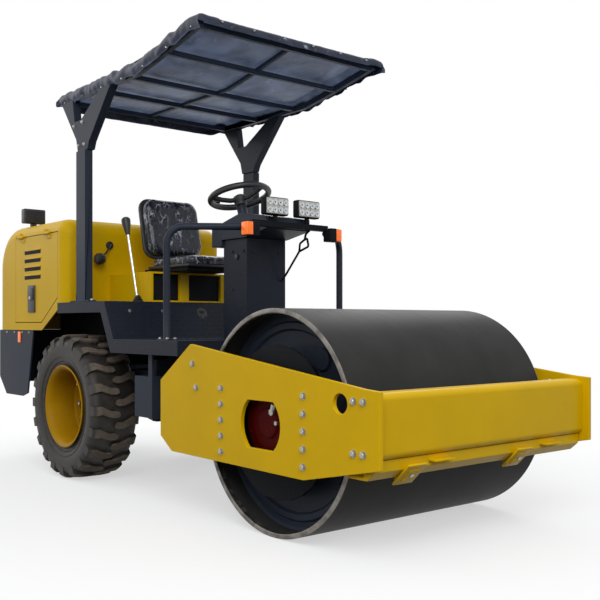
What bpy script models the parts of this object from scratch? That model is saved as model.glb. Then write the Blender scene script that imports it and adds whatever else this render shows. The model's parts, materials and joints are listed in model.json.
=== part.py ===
"""Single-drum road roller with a canopy, articulated between drum frame and tractor.

Metres, +Z up, +X forward, +Y to the machine's left. The origin lies on the ground under the
middle of the machine's length and width. Every object is one closed solid.
"""

import math

import bmesh
import bpy
from mathutils import Matrix, Vector

# Driving dimensions ---------------------------------------------------------------------------
WHEELBASE = 1.942  # drum axis to rear axle
FRONT_REACH = 0.712  # drum axis to the front tips of the side plates
REAR_REACH = 1.206  # rear axle to the back of the hood
PLATE_OUTER = 0.71  # machine centre to a side plate's outer face, the widest point
DRUM_RADIUS = 0.50
DRUM_HALF = 0.639  # half the drum's width
WHEEL_RADIUS = 0.433
PLATFORM_HALF = 0.65
FLOOR_TOP = 0.845
DECK_TOP = 1.06
HOOD_HALF = 0.60
HOOD_TOP = 1.594
CANOPY_HALF = 0.634
CANOPY_BASE = 2.28  # underside of the canopy frame over the posts

# Clearances -----------------------------------------------------------------------------------
GAP = 0.0003  # between pieces that touch
PIN_END = 0.0008  # between a turning piece and the shoulder beside it

# Places along the machine ---------------------------------------------------------------------
DRUM_X = (FRONT_REACH + WHEELBASE + REAR_REACH) / 2 - FRONT_REACH
AXLE_X = DRUM_X - WHEELBASE
PIVOT_X = (DRUM_X + AXLE_X) / 2
HOOD_REAR_X = AXLE_X - REAR_REACH
HOOD_FRONT_X = AXLE_X - 0.158
STEER_LIMIT_GAP = 0.231  # pivot to the platform's front edge
PLATFORM_FRONT_X = PIVOT_X + STEER_LIMIT_GAP

# Drum and its frame ---------------------------------------------------------------------------
DRUM_SHELL = 0.022
DRUM_HEAD_FACE = 0.52  # machine centre to a head's outer face
DRUM_HEAD_THICK = 0.025
DRUM_AXLE_RADIUS = 0.06
DRUM_STEPS = 64
PLATE_THICK = 0.02
PLATE_INNER = PLATE_OUTER - PLATE_THICK
PORT_RADIUS = 0.136  # inspection port in the side plate, flattened above and below
PORT_FLAT = 0.104
PORT_DROP = 0.005  # port centre below the drum axis
LIFT_EYE = (0.50, 0.122, 0.04)  # x and z from the drum axis, radius
BEAM_FACE = 0.68  # drum axis to the beam's front face
BEAM_DEPTH = 0.08
BEAM_WALL = 0.012
BEAM_BOTTOM = -0.086  # from the drum axis, as BEAM_TOP
BEAM_TOP = 0.171
BEAM_CORNER = 0.03
CARRIER_BOLT_COLUMN = 0.284  # drum axis to each column of bolts
CARRIER_BOLT_SPAN = 0.19

# Centre joint ---------------------------------------------------------------------------------
ROLL_Z = 0.54  # height of the frame's rolling axis
ROLL_SHAFT_RADIUS = 0.045
ROLL_SLEEVE_RADIUS = 0.08
KNUCKLE_RADIUS = 0.06
KNUCKLE_BOTTOM = 0.397
KNUCKLE_TOP = 0.683
KING_PIN_RADIUS = 0.025
LUG_THICK = 0.025
CYLINDER_Y = 0.235
CYLINDER_REAR = 0.40  # pivot back to the cylinder's rear pin
CYLINDER_FRONT = 0.08  # pivot forward to the rod's eye

# Tractor --------------------------------------------------------------------------------------
AXLE_TUBE_RADIUS = 0.055
HUB_RADIUS = 0.075
RIM_RADIUS = 0.245
WHEEL_OUTER = 0.70  # machine centre to the tyre's outer face
WHEEL_INNER = 0.40
WHEEL_DISC = 0.50  # machine centre to the rim's disc
WHEEL_STEPS = 32
RAIL_Y = (0.29, 0.335)
RAIL_TOP = 0.65
SHEET = 0.006
HOOD_BOTTOM = 0.888
HOOD_EDGE = 0.08  # radius of the hood's long edges
HOOD_SHOULDER = 0.28  # radius of the hood's rear top
HOOD_BROW = 0.10  # radius of the hood's front top, wider than HOOD_EDGE
DOOR_GAP = 0.005
DOOR_LOW = 0.941
DOOR_HIGH = 1.51
HINGE_RADIUS = 0.009
HINGE_PIN_RADIUS = 0.005
SKIRT_BOTTOM = 0.44
POST_X = (AXLE_X + 0.097, AXLE_X + 0.212)
POST_THICK = 0.05
POST_TOP = 1.955
SEAT_BOX_TOP = 1.245
CONSOLE_HALF = 0.137
DASH_HALF = 0.152
COLUMN_TILT = math.radians(16)  # the steering wheel's axis leans back from vertical
STEERING_RADIUS = 0.187

# Paint and finish: colour (linear), roughness, metallic -----------------------------------------
FINISHES = {
    "yellow_paint": ((0.62, 0.42, 0.03), 0.35, 0.0),
    "charcoal_paint": ((0.045, 0.047, 0.052), 0.45, 0.0),
    "black_paint": ((0.02, 0.02, 0.022), 0.5, 0.0),
    "red_primer": ((0.25, 0.02, 0.015), 0.5, 0.0),
    "drum_steel": ((0.045, 0.045, 0.05), 0.4, 0.6),
    "bright_steel": ((0.6, 0.6, 0.6), 0.3, 1.0),
    "tyre_rubber": ((0.03, 0.028, 0.025), 0.85, 0.0),
    "seat_vinyl": ((0.02, 0.022, 0.03), 0.4, 0.0),
    "tarp_fabric": ((0.02, 0.024, 0.035), 0.4, 0.0),
    "black_plastic": ((0.015, 0.015, 0.016), 0.5, 0.0),
    "lamp_lens": ((0.5, 0.53, 0.56), 0.15, 0.0),
    "amber_lens": ((0.8, 0.18, 0.01), 0.25, 0.0),
}


# Scene and solids -----------------------------------------------------------------------------
def clear_scene():
    for obj in list(bpy.data.objects):
        bpy.data.objects.remove(obj, do_unlink=True)


def finish(name):
    """The material of this finish, made once."""
    material = bpy.data.materials.get(name)
    if material is None:
        colour, roughness, metallic = FINISHES[name]
        material = bpy.data.materials.new(name)
        material.use_nodes = True
        shader = material.node_tree.nodes["Principled BSDF"]
        shader.inputs["Base Color"].default_value = (*colour, 1)
        shader.inputs["Roughness"].default_value = roughness
        shader.inputs["Metallic"].default_value = metallic
    return material


def joint_empty(name, place):
    """An empty on a joint's axis, which the moving body's objects are parented to."""
    empty = bpy.data.objects.new(name, None)
    empty.location = place
    bpy.context.scene.collection.objects.link(empty)
    return empty


def add(name, shape, paint, joint=None):
    """Makes an object of a bmesh given in world coordinates, on its joint's empty if it moves."""
    origin = joint.location.copy() if joint else Vector()
    bmesh.ops.translate(shape, vec=-origin, verts=shape.verts)
    mesh = bpy.data.meshes.new(name)
    shape.to_mesh(mesh)
    shape.free()
    mesh.materials.append(finish(paint))
    mesh.shade_smooth()
    mesh.set_sharp_from_angle(angle=math.radians(35))
    obj = bpy.data.objects.new(name, mesh)
    obj.parent = joint
    bpy.context.scene.collection.objects.link(obj)
    return obj


def boolean(obj, shape, operation):
    """Cuts a world-space bmesh from an object, or joins it on, with a hidden helper object."""
    helper = add(f"{obj.name}_helper", shape, obj.data.materials[0].name)
    helper.hide_render = True
    helper.display_type = "WIRE"
    modifier = obj.modifiers.new(operation.lower(), "BOOLEAN")
    modifier.operation = operation
    modifier.solver = "EXACT"
    modifier.object = helper


def cut(obj, *shapes):
    for shape in shapes:
        boolean(obj, shape, "DIFFERENCE")


def join(obj, *shapes):
    for shape in shapes:
        boolean(obj, shape, "UNION")


def box(low, high):
    size = [b - a for a, b in zip(low, high)]
    middle = [(a + b) / 2 for a, b in zip(low, high)]
    shape = bmesh.new()
    place = Matrix.Translation(middle) @ Matrix.Diagonal((*size, 1))
    bmesh.ops.create_cube(shape, size=1, matrix=place)
    return shape


def prism(outline, axis, low, high):
    """A closed outline of 2D points, in the order of the other two axes, extruded along one axis."""
    across = "xyz".index(axis)
    shape = bmesh.new()
    corners = []
    for point in outline:
        place = list(point)
        place.insert(across, low)
        corners.append(shape.verts.new(place))
    face = shape.faces.new(corners)
    grown = bmesh.ops.extrude_face_region(shape, geom=[face])["geom"]
    move = [0, 0, 0]
    move[across] = high - low
    bmesh.ops.translate(shape, vec=move, verts=[g for g in grown if isinstance(g, bmesh.types.BMVert)])
    bmesh.ops.recalc_face_normals(shape, faces=shape.faces)
    return shape


def side_prism(outline, side, inner, outer):
    """A prism across Y between two distances from the machine's centre, on one side (+1 or -1)."""
    return prism(outline, "y", *sorted((side * inner, side * outer)))


def rod(start, end, radius, steps=16, end_radius=None):
    start, end = Vector(start), Vector(end)
    turn = (end - start).to_track_quat("Z", "Y").to_matrix().to_4x4()
    shape = bmesh.new()
    bmesh.ops.create_cone(
        shape,
        cap_ends=True,
        segments=steps,
        radius1=radius,
        radius2=radius if end_radius is None else end_radius,
        depth=(end - start).length,
        matrix=Matrix.Translation((start + end) / 2) @ turn,
    )
    return shape


def turned(profile, centre, axis, steps, ring=True):
    """A profile of (distance along the axis, radius) points, spun about the axis through centre.

    A ring's profile is closed. Otherwise the profile starts and ends on the axis."""
    axis = Vector(axis)
    outward = Vector((0, 0, 1)) if abs(axis.z) < 0.5 else Vector((1, 0, 0))
    outward = (outward - axis * outward.dot(axis)).normalized()
    shape = bmesh.new()
    verts = [shape.verts.new(Vector(centre) + axis * along + outward * radius) for along, radius in profile]
    for a, b in zip(verts, verts[1:] + verts[:1] if ring else verts[1:]):
        shape.edges.new((a, b))
    bmesh.ops.spin(
        shape,
        geom=shape.verts[:] + shape.edges[:],
        cent=centre,
        axis=axis,
        angle=2 * math.pi,
        steps=steps,
        use_merge=True,
    )
    bmesh.ops.remove_doubles(shape, verts=shape.verts, dist=1e-6)
    bmesh.ops.recalc_face_normals(shape, faces=shape.faces)
    return shape


def tube(points, radius):
    """A round bar along a route, as a closed mesh."""
    curve = bpy.data.curves.new("route", "CURVE")
    curve.dimensions = "3D"
    curve.bevel_depth = radius
    curve.bevel_resolution = 2
    curve.use_fill_caps = True
    spline = curve.splines.new("POLY")
    spline.points.add(len(points) - 1)
    for spot, point in zip(spline.points, points):
        spot.co = (*point, 1)
    guide = bpy.data.objects.new("route", curve)
    bpy.context.scene.collection.objects.link(guide)
    bpy.context.view_layer.update()
    mesh = bpy.data.meshes.new_from_object(guide.evaluated_get(bpy.context.evaluated_depsgraph_get()))
    shape = bmesh.new()
    shape.from_mesh(mesh)
    bmesh.ops.remove_doubles(shape, verts=shape.verts, dist=1e-6)
    bmesh.ops.recalc_face_normals(shape, faces=shape.faces)
    bpy.data.objects.remove(guide, do_unlink=True)
    return shape


def ball(centre, radius):
    shape = bmesh.new()
    bmesh.ops.create_uvsphere(
        shape, u_segments=12, v_segments=7, radius=radius, matrix=Matrix.Translation(centre)
    )
    return shape


def arc(centre, radius, start, end, steps):
    """Points on an arc, angles in degrees, both ends included."""
    angles = [math.radians(start + (end - start) * i / steps) for i in range(steps + 1)]
    return [(centre[0] + radius * math.cos(a), centre[1] + radius * math.sin(a)) for a in angles]


def shifted(outline, x, z):
    return [(x + u, z + v) for u, v in outline]


def bore(pin_radius, steps):
    """Radius of a faceted hole whose flats clear a pin of this radius by the touching gap."""
    return (pin_radius + GAP) / math.cos(math.pi / steps)


# Drum frame -----------------------------------------------------------------------------------
def side_plates(joint):
    outline = [
        (-0.538, 0.334),
        (-0.803, 0.151),
        (-0.803, -0.127),
        (-0.70, -0.195),
        (0.283, -0.204),
        (FRONT_REACH, -0.113),
        (FRONT_REACH, 0.180),
        (0.629, 0.186),
    ]
    port = [(x, max(-PORT_FLAT, min(PORT_FLAT, z))) for x, z in arc((0, 0), PORT_RADIUS, 0, 350, 35)]
    port = [p for i, p in enumerate(port) if abs(p[1]) < PORT_FLAT or abs(port[i - 1][1]) < PORT_FLAT
            or abs(port[(i + 1) % len(port)][1]) < PORT_FLAT]
    eye_x, eye_z, eye_radius = LIFT_EYE
    for name, side in (("side_plate_right", -1), ("side_plate_left", 1)):
        plate = add(name, side_prism(shifted(outline, DRUM_X, DRUM_RADIUS), side, PLATE_INNER, PLATE_OUTER),
                    "yellow_paint", joint)
        reach = (PLATE_INNER - 0.02, PLATE_OUTER + 0.02)
        cut(plate, side_prism(shifted(port, DRUM_X, DRUM_RADIUS - PORT_DROP), side, *reach))
        eye = arc((DRUM_X + eye_x, DRUM_RADIUS + eye_z), eye_radius, 0, 345, 23)
        cut(plate, side_prism(eye, side, *reach))


def front_beam(joint):
    """A folded channel between the side plates, open to the rear."""
    back = BEAM_FACE - BEAM_DEPTH
    inner = BEAM_CORNER - BEAM_WALL
    rise = (BEAM_BOTTOM + BEAM_CORNER, BEAM_TOP - BEAM_CORNER)
    middle = BEAM_FACE - BEAM_CORNER
    outline = [(back, BEAM_BOTTOM)]
    outline += arc((middle, rise[0]), BEAM_CORNER, -90, 0, 4)
    outline += arc((middle, rise[1]), BEAM_CORNER, 0, 90, 4)
    outline += [(back, BEAM_TOP), (back, BEAM_TOP - BEAM_WALL)]
    outline += arc((middle, rise[1]), inner, 90, 0, 4)
    outline += arc((middle, rise[0]), inner, 0, -90, 4)
    outline += [(back, BEAM_BOTTOM + BEAM_WALL)]
    reach = PLATE_INNER - GAP
    add("front_beam", prism(shifted(outline, DRUM_X, DRUM_RADIUS), "y", -reach, reach), "yellow_paint", joint)


def rear_yoke(joint):
    """The cross member behind the drum, with the shaft that the drum frame rolls on."""
    web_x = (DRUM_X - 0.66, DRUM_X - 0.59)
    reach = PLATE_INNER - GAP
    yoke = add("rear_yoke", box((web_x[0], -reach, 0.40), (web_x[1], reach, 0.68)), "yellow_paint", joint)
    pocket = 0.02
    for side in (-1, 1):
        low, high = sorted((side * 0.16, side * (reach - pocket)))
        cut(yoke, box((web_x[0] - 0.01, low, 0.40 + pocket), (web_x[1] - pocket, high, 0.68 - pocket)))
    join(yoke, rod((web_x[0] + 0.02, 0, ROLL_Z), (PIVOT_X + KNUCKLE_RADIUS + 0.03, 0, ROLL_Z), ROLL_SHAFT_RADIUS, 24))


def drum_carriers(joint):
    """Each side's bearing plate: two bolted feet, a disc in the drum's mouth and a stub axle."""
    for name, side in (("drum_carrier_right", -1), ("drum_carrier_left", 1)):
        disc = side * 0.60
        profile = [
            (side * (DRUM_HEAD_FACE - DRUM_HEAD_THICK - 0.02), 0),
            (side * (DRUM_HEAD_FACE - DRUM_HEAD_THICK - 0.02), DRUM_AXLE_RADIUS),
            (disc - side * 0.03, DRUM_AXLE_RADIUS),
            (disc - side * 0.03, 0.13),
            (disc, 0.15),
            (disc, 0.34),
            (disc + side * 0.02, 0.34),
            (disc + side * 0.02, 0.10),
            (disc + side * 0.055, 0.09),
            (disc + side * 0.055, 0),
        ]
        carrier = add(name, turned(profile, (DRUM_X, 0, DRUM_RADIUS), (0, 1, 0), 24, ring=False),
                      "black_paint", joint)
        for column in (-1, 1):
            middle = DRUM_X + column * CARRIER_BOLT_COLUMN
            foot = [(middle - 0.03, DRUM_RADIUS - PORT_DROP - CARRIER_BOLT_SPAN),
                    (middle + 0.03, DRUM_RADIUS - PORT_DROP - CARRIER_BOLT_SPAN),
                    (middle + 0.03, DRUM_RADIUS - PORT_DROP + CARRIER_BOLT_SPAN),
                    (middle - 0.03, DRUM_RADIUS - PORT_DROP + CARRIER_BOLT_SPAN)]
            join(carrier, side_prism(foot, side, 0.61, PLATE_INNER - GAP))


def scrapers(joint):
    """Blades across the drum's front and rear, just off its face."""
    reach = 0.60
    front = [(0.515, -0.165), (0.62, -0.165), (0.66, -0.13), (0.66, BEAM_BOTTOM - GAP),
             (0.61, BEAM_BOTTOM - GAP), (0.60, -0.152), (0.515, -0.152)]
    blade = add("front_scraper", prism(shifted(front, DRUM_X, DRUM_RADIUS), "y", -PLATE_INNER + 0.005,
                                       PLATE_INNER - 0.005), "yellow_paint", joint)
    for y in (-0.47, 0.23):
        clamp = [(0.585, -0.185), (0.63, -0.185), (0.67, -0.14), (0.655, BEAM_BOTTOM - GAP),
                 (0.615, BEAM_BOTTOM - GAP)]
        join(blade, prism(shifted(clamp, DRUM_X, DRUM_RADIUS), "y", y - 0.03, y + 0.03))
    rear = [(-0.51, -0.055), (-0.59 + GAP, -0.055), (-0.59 + GAP, 0.02), (-0.575, 0.02), (-0.575, -0.04),
            (-0.51, -0.04)]
    add("rear_scraper", prism(shifted(rear, DRUM_X, DRUM_RADIUS), "y", -reach, reach), "charcoal_paint", joint)


def drum(joint):
    """The shell with a recessed head near each end, each head bored for its stub axle."""
    inner = DRUM_RADIUS - DRUM_SHELL
    hole = bore(DRUM_AXLE_RADIUS, DRUM_STEPS)
    head = (DRUM_HEAD_FACE - DRUM_HEAD_THICK, DRUM_HEAD_FACE)
    profile = [
        (-DRUM_HALF, DRUM_RADIUS),
        (DRUM_HALF, DRUM_RADIUS),
        (DRUM_HALF, inner),
        (head[1], inner),
        (head[1], hole),
        (head[0], hole),
        (head[0], inner),
        (-head[0], inner),
        (-head[0], hole),
        (-head[1], hole),
        (-head[1], inner),
        (-DRUM_HALF, inner),
    ]
    add("drum", turned(profile, (DRUM_X, 0, DRUM_RADIUS), (0, 1, 0), DRUM_STEPS), "drum_steel", joint)


# Centre joint ---------------------------------------------------------------------------------
def centre_knuckle(joint):
    """The upright that steers on two king pins and carries the rolling shaft's sleeve and the rod ears."""
    steps = 24
    pin_hole = bore(KING_PIN_RADIUS, steps)
    post = add("centre_knuckle", rod((PIVOT_X, 0, KNUCKLE_BOTTOM), (PIVOT_X, 0, KNUCKLE_TOP), KNUCKLE_RADIUS, steps),
               "charcoal_paint", joint)
    join(post, rod((PIVOT_X + 0.02, 0, ROLL_Z), (DRUM_X - 0.66 - 0.012, 0, ROLL_Z), ROLL_SLEEVE_RADIUS, steps))
    wing_x = (PIVOT_X + CYLINDER_FRONT - 0.035, PIVOT_X + CYLINDER_FRONT + 0.035)
    wing_z = (ROLL_Z - 0.056, ROLL_Z - 0.04)
    join(post, box((wing_x[0], -CYLINDER_Y - 0.04, wing_z[0]), (wing_x[1], CYLINDER_Y + 0.04, wing_z[1])))
    cut(post, rod((PIVOT_X + KNUCKLE_RADIUS + 0.025, 0, ROLL_Z), (DRUM_X, 0, ROLL_Z), bore(ROLL_SHAFT_RADIUS, steps), steps))
    for low, high in ((KNUCKLE_BOTTOM - 0.01, KNUCKLE_BOTTOM + 0.05), (KNUCKLE_TOP - 0.05, KNUCKLE_TOP + 0.01)):
        cut(post, rod((PIVOT_X, 0, low), (PIVOT_X, 0, high), pin_hole, steps))


def steering_cylinders(barrel_joints, rod_joints):
    steps = 20
    rear_x = PIVOT_X - CYLINDER_REAR
    front_x = PIVOT_X + CYLINDER_FRONT
    for name, side in (("right", -1), ("left", 1)):
        y = side * CYLINDER_Y
        eye = add(f"steering_barrel_{name}", rod((rear_x, y, ROLL_Z - 0.02), (rear_x, y, ROLL_Z + 0.02), 0.028, steps),
                  "black_paint", barrel_joints[name])
        join(eye, rod((rear_x + 0.022, y, ROLL_Z), (front_x - 0.16, y, ROLL_Z), 0.034, steps))
        cut(eye, rod((rear_x, y, ROLL_Z - 0.05), (rear_x, y, ROLL_Z + 0.05), bore(0.013, steps), steps))
        cut(eye, rod((rear_x + 0.05, y, ROLL_Z), (front_x, y, ROLL_Z), bore(0.018, steps), steps))
        shaft = add(f"steering_rod_{name}", rod((rear_x + 0.19, y, ROLL_Z), (front_x, y, ROLL_Z), 0.018, steps),
                    "bright_steel", rod_joints[name])
        join(shaft, rod((front_x, y, ROLL_Z - 0.034), (front_x, y, ROLL_Z + 0.024), 0.03, steps))


# Tractor frame --------------------------------------------------------------------------------
def chassis(root):
    """Two rails, cross members, the articulation lugs with king pins, and the cylinders' pins."""
    rail_bottom = WHEEL_RADIUS + AXLE_TUBE_RADIUS + GAP
    front_x = PIVOT_X - 0.46
    rear_x = HOOD_REAR_X + 0.06
    inner, outer = RAIL_Y
    frame = add("chassis", box((front_x - 0.05, -outer - 0.01, 0.36), (front_x, outer + 0.01, 0.72)),
                "charcoal_paint", root)
    for side in (-1, 1):
        low, high = sorted((side * inner, side * outer))
        join(frame, box((rear_x, low, rail_bottom), (front_x - 0.02, high, RAIL_TOP)))
    for x in (rear_x + 0.02, AXLE_X - 0.28, AXLE_X + 0.14):
        join(frame, box((x, -inner - 0.01, rail_bottom + 0.02), (x + 0.05, inner + 0.01, RAIL_TOP - 0.02)))
    lug = [(front_x - 0.02, -0.16), (PIVOT_X, -0.075), *[(PIVOT_X + x, y) for x, y in arc((0, 0), 0.075, -60, 60, 6)],
           (PIVOT_X, 0.075), (front_x - 0.02, 0.16)]
    upper = (KNUCKLE_TOP + PIN_END, KNUCKLE_TOP + PIN_END + LUG_THICK)
    lower = (KNUCKLE_BOTTOM - PIN_END - LUG_THICK, KNUCKLE_BOTTOM - PIN_END)
    join(frame, prism(lug, "z", *upper), prism(lug, "z", *lower))
    join(frame, rod((PIVOT_X, 0, KNUCKLE_TOP - 0.045), (PIVOT_X, 0, upper[1] - 0.005), KING_PIN_RADIUS, 24))
    join(frame, rod((PIVOT_X, 0, lower[0] + 0.005), (PIVOT_X, 0, KNUCKLE_BOTTOM + 0.045), KING_PIN_RADIUS, 24))
    for side in (-1, 1):
        pin_x, y = PIVOT_X - CYLINDER_REAR, side * CYLINDER_Y
        shelf = (ROLL_Z - 0.02 - PIN_END - 0.015, ROLL_Z - 0.02 - PIN_END)
        join(frame, box((front_x - 0.02, y - 0.03, shelf[0]), (pin_x + 0.016, y + 0.03, shelf[1])))
        join(frame, rod((pin_x, y, shelf[0] + 0.005), (pin_x, y, ROLL_Z + 0.03), 0.013, 20))


def rear_axle(root):
    """A tube axle with a bulged middle and a hub that passes through each wheel's disc."""
    hub = WHEEL_DISC + 0.035
    flange = WHEEL_DISC - 0.012 - PIN_END
    half = [(0.0, 0.13), (0.06, 0.13), (0.13, 0.09), (0.20, AXLE_TUBE_RADIUS), (flange - 0.03, AXLE_TUBE_RADIUS),
            (flange - 0.03, 0.10), (flange, 0.10), (flange, HUB_RADIUS), (hub, HUB_RADIUS), (hub, 0)]
    profile = [(-along, radius) for along, radius in reversed(half[1:])] + half
    add("rear_axle", turned(profile, (AXLE_X, 0, WHEEL_RADIUS), (0, 1, 0), 24, ring=False), "black_paint", root)


def engine(root):
    block = add("engine_block", box((AXLE_X - 0.95, -0.25, RAIL_TOP + GAP), (AXLE_X - 0.30, 0.25, 1.30)),
                "black_paint", root)
    feet = ((AXLE_X - 0.90, AXLE_X - 0.82), (AXLE_X - 0.42, AXLE_X - 0.34))
    for low, high in feet:
        join(block, box((low, -RAIL_Y[1], RAIL_TOP + GAP), (high, RAIL_Y[1], RAIL_TOP + 0.03)))


def platform(root):
    """One folded sheet: wheel deck, sloping riser and floor, with a flange all round below."""
    rear = HOOD_FRONT_X + GAP
    top = [(rear, DECK_TOP), (AXLE_X + 0.442, DECK_TOP), (AXLE_X + 0.549, FLOOR_TOP), (PLATFORM_FRONT_X, FLOOR_TOP)]
    deck_flange, floor_flange = 0.065, 0.077
    outline = top + [(PLATFORM_FRONT_X, FLOOR_TOP - floor_flange), (AXLE_X + 0.513, FLOOR_TOP - floor_flange),
                     (AXLE_X + 0.398, DECK_TOP - deck_flange), (rear, DECK_TOP - deck_flange)]
    deck = add("platform", prism(outline, "y", -PLATFORM_HALF, PLATFORM_HALF), "charcoal_paint", root)
    under = [(rear + SHEET, DECK_TOP - SHEET), (AXLE_X + 0.438, DECK_TOP - SHEET), (AXLE_X + 0.545, FLOOR_TOP - SHEET),
             (PLATFORM_FRONT_X - SHEET, FLOOR_TOP - SHEET), (PLATFORM_FRONT_X - SHEET, 0.70), (AXLE_X + 0.45, 0.70),
             (AXLE_X + 0.35, 0.90), (rear + SHEET, 0.90)]
    inside = PLATFORM_HALF - SHEET
    cut(deck, prism(under, "y", -inside, inside))
    cut(deck, box((rear - 0.02, -0.57, 0.95), (rear + SHEET + 0.001, 0.57, DECK_TOP - SHEET)))


def platform_legs(root):
    """The posts and cross bars that carry the platform on the rails."""
    for name, x in (("platform_bearer_rear", AXLE_X + 0.05), ("platform_bearer_front", AXLE_X + 0.60)):
        top = (DECK_TOP if x < AXLE_X + 0.4 else FLOOR_TOP) - SHEET - GAP
        reach = 0.60 if x > AXLE_X + 0.4 else 0.38
        bearer = add(name, box((x, -reach, top - 0.05), (x + 0.05, reach, top)), "black_paint", root)
        if top - 0.05 > RAIL_TOP + 0.15:
            for side in (-1, 1):
                low, high = sorted((side * RAIL_Y[0], side * RAIL_Y[1]))
                join(bearer, box((x + 0.005, low, RAIL_TOP + GAP), (x + 0.045, high, top - 0.02)))


def step_boxes(root):
    """The tool box under each side of the platform, hung on a strap from the floor."""
    for name, side in (("step_box_right", -1), ("step_box_left", 1)):
        low, high = sorted((side * 0.54, side * 0.62))
        crate = add(name, box((PIVOT_X - 0.24, low, 0.43), (PIVOT_X - 0.06, high, 0.65)), "charcoal_paint", root)
        low, high = sorted((side * 0.605, side * 0.62))
        join(crate, box((PIVOT_X - 0.10, low, 0.63), (PIVOT_X - 0.06, high, FLOOR_TOP - SHEET - GAP)))


def hood_shape(inset, drop):
    """The hood's outer form, or the same form inset by a wall and lengthened below."""
    front, rear, top = HOOD_FRONT_X - inset, HOOD_REAR_X + inset, HOOD_TOP - inset
    shoulder = HOOD_SHOULDER - inset
    brow = HOOD_BROW - inset
    outline = [(front, 1.075 - drop), (front - 0.335, HOOD_BOTTOM - drop), (rear, HOOD_BOTTOM - drop)]
    outline += arc((rear + shoulder, top - shoulder), shoulder, 180, 90, 10)
    outline += arc((front - brow, top - brow), brow, 90, 0, 5)
    half = HOOD_HALF - inset
    shape = prism(outline, "y", -half, half)
    edges = []
    for edge in shape.edges:
        a, b = (v.co for v in edge.verts)
        on_side = abs(abs(a.y) - half) < 1e-6 and abs(a.y - b.y) < 1e-6
        low = min(a.z, b.z) < HOOD_BOTTOM - drop + 1e-6 and max(a.z, b.z) < 1.08
        if on_side and not low:
            edges.append(edge)
    bmesh.ops.bevel(shape, geom=edges, offset=HOOD_EDGE - inset, offset_type="OFFSET", segments=5, profile=0.5,
                    affect="EDGES", material=-1)
    return shape


def door_outline(grow):
    front, rear = HOOD_FRONT_X - 0.10 + grow, AXLE_X - 0.908 - grow
    low, high = DOOR_LOW - grow, DOOR_HIGH + grow
    return [(rear, low), (front - 0.24, low), (front, 1.10 - grow), (front, high), (rear, high)]


def hood(root):
    """The engine hood: one pressed shell, open below, with an opening for each side door."""
    shell = add("hood", hood_shape(0, 0), "yellow_paint", root)
    cut(shell, hood_shape(SHEET, 0.12))
    for side in (-1, 1):
        cut(shell, side_prism(door_outline(DOOR_GAP), side, HOOD_HALF - 0.05, HOOD_HALF + 0.03))
    hinge_z = DOOR_HIGH + DOOR_GAP / 2
    hinge_y = HOOD_HALF + HINGE_RADIUS + GAP
    for side in (-1, 1):
        for x in hinge_places():
            join(shell, rod((x - 0.06, side * hinge_y, hinge_z), (x - 0.032, side * hinge_y, hinge_z), HINGE_RADIUS, 12))
            join(shell, rod((x - 0.04, side * hinge_y, hinge_z), (x + 0.03, side * hinge_y, hinge_z), HINGE_PIN_RADIUS, 12))
            low, high = sorted((side * (HOOD_HALF - 0.003), side * (hinge_y + 0.002)))
            join(shell, box((x - 0.06, low, hinge_z - 0.002), (x - 0.032, high, hinge_z + 0.03)))


def hinge_places():
    middle = (HOOD_FRONT_X - 0.10 + AXLE_X - 0.908) / 2
    return (middle - 0.20, middle + 0.20)


def hood_doors(joints):
    """Each side door lifts on two pin hinges along its top edge."""
    hinge_z = DOOR_HIGH + DOOR_GAP / 2
    hinge_y = HOOD_HALF + HINGE_RADIUS + GAP
    for name, side in (("right", -1), ("left", 1)):
        door = add(f"hood_door_{name}", side_prism(door_outline(0), side, HOOD_HALF - SHEET, HOOD_HALF),
                   "yellow_paint", joints[name])
        for x in hinge_places():
            span = (x - 0.031, x + 0.028)
            join(door, rod((span[0], side * hinge_y, hinge_z), (span[1], side * hinge_y, hinge_z), HINGE_RADIUS, 12))
            low, high = sorted((side * (HOOD_HALF - 0.003), side * (HOOD_HALF + 0.004)))
            join(door, box((span[0], low, hinge_z - 0.035), (span[1], high, hinge_z - 0.004)))
        for x in hinge_places():
            span = (x - 0.05, x + 0.05)
            cut(door, rod((span[0], side * hinge_y, hinge_z), (span[1], side * hinge_y, hinge_z),
                          bore(HINGE_PIN_RADIUS, 12), 12))


def rear_skirt(root):
    """The wrap-round guard under the hood, closed behind and at the sides."""
    back = HOOD_REAR_X + 0.012
    outline = [(AXLE_X - 0.628, HOOD_BOTTOM - GAP), (AXLE_X - 0.718, 0.464), (AXLE_X - 0.80, SKIRT_BOTTOM),
               (back + 0.12, SKIRT_BOTTOM), (back, 0.56), (back, HOOD_BOTTOM - GAP)]
    outer = HOOD_HALF - 0.002
    guard = add("rear_skirt", prism(outline, "y", -outer, outer), "charcoal_paint", root)
    room = [(AXLE_X - 0.50, 0.95), (AXLE_X - 0.50, SKIRT_BOTTOM - 0.05), (back + 0.13, SKIRT_BOTTOM - 0.05),
            (back + 0.012, 0.565), (back + 0.012, 0.95)]
    cut(guard, prism(room, "y", -outer + 0.012, outer - 0.012))


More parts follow.
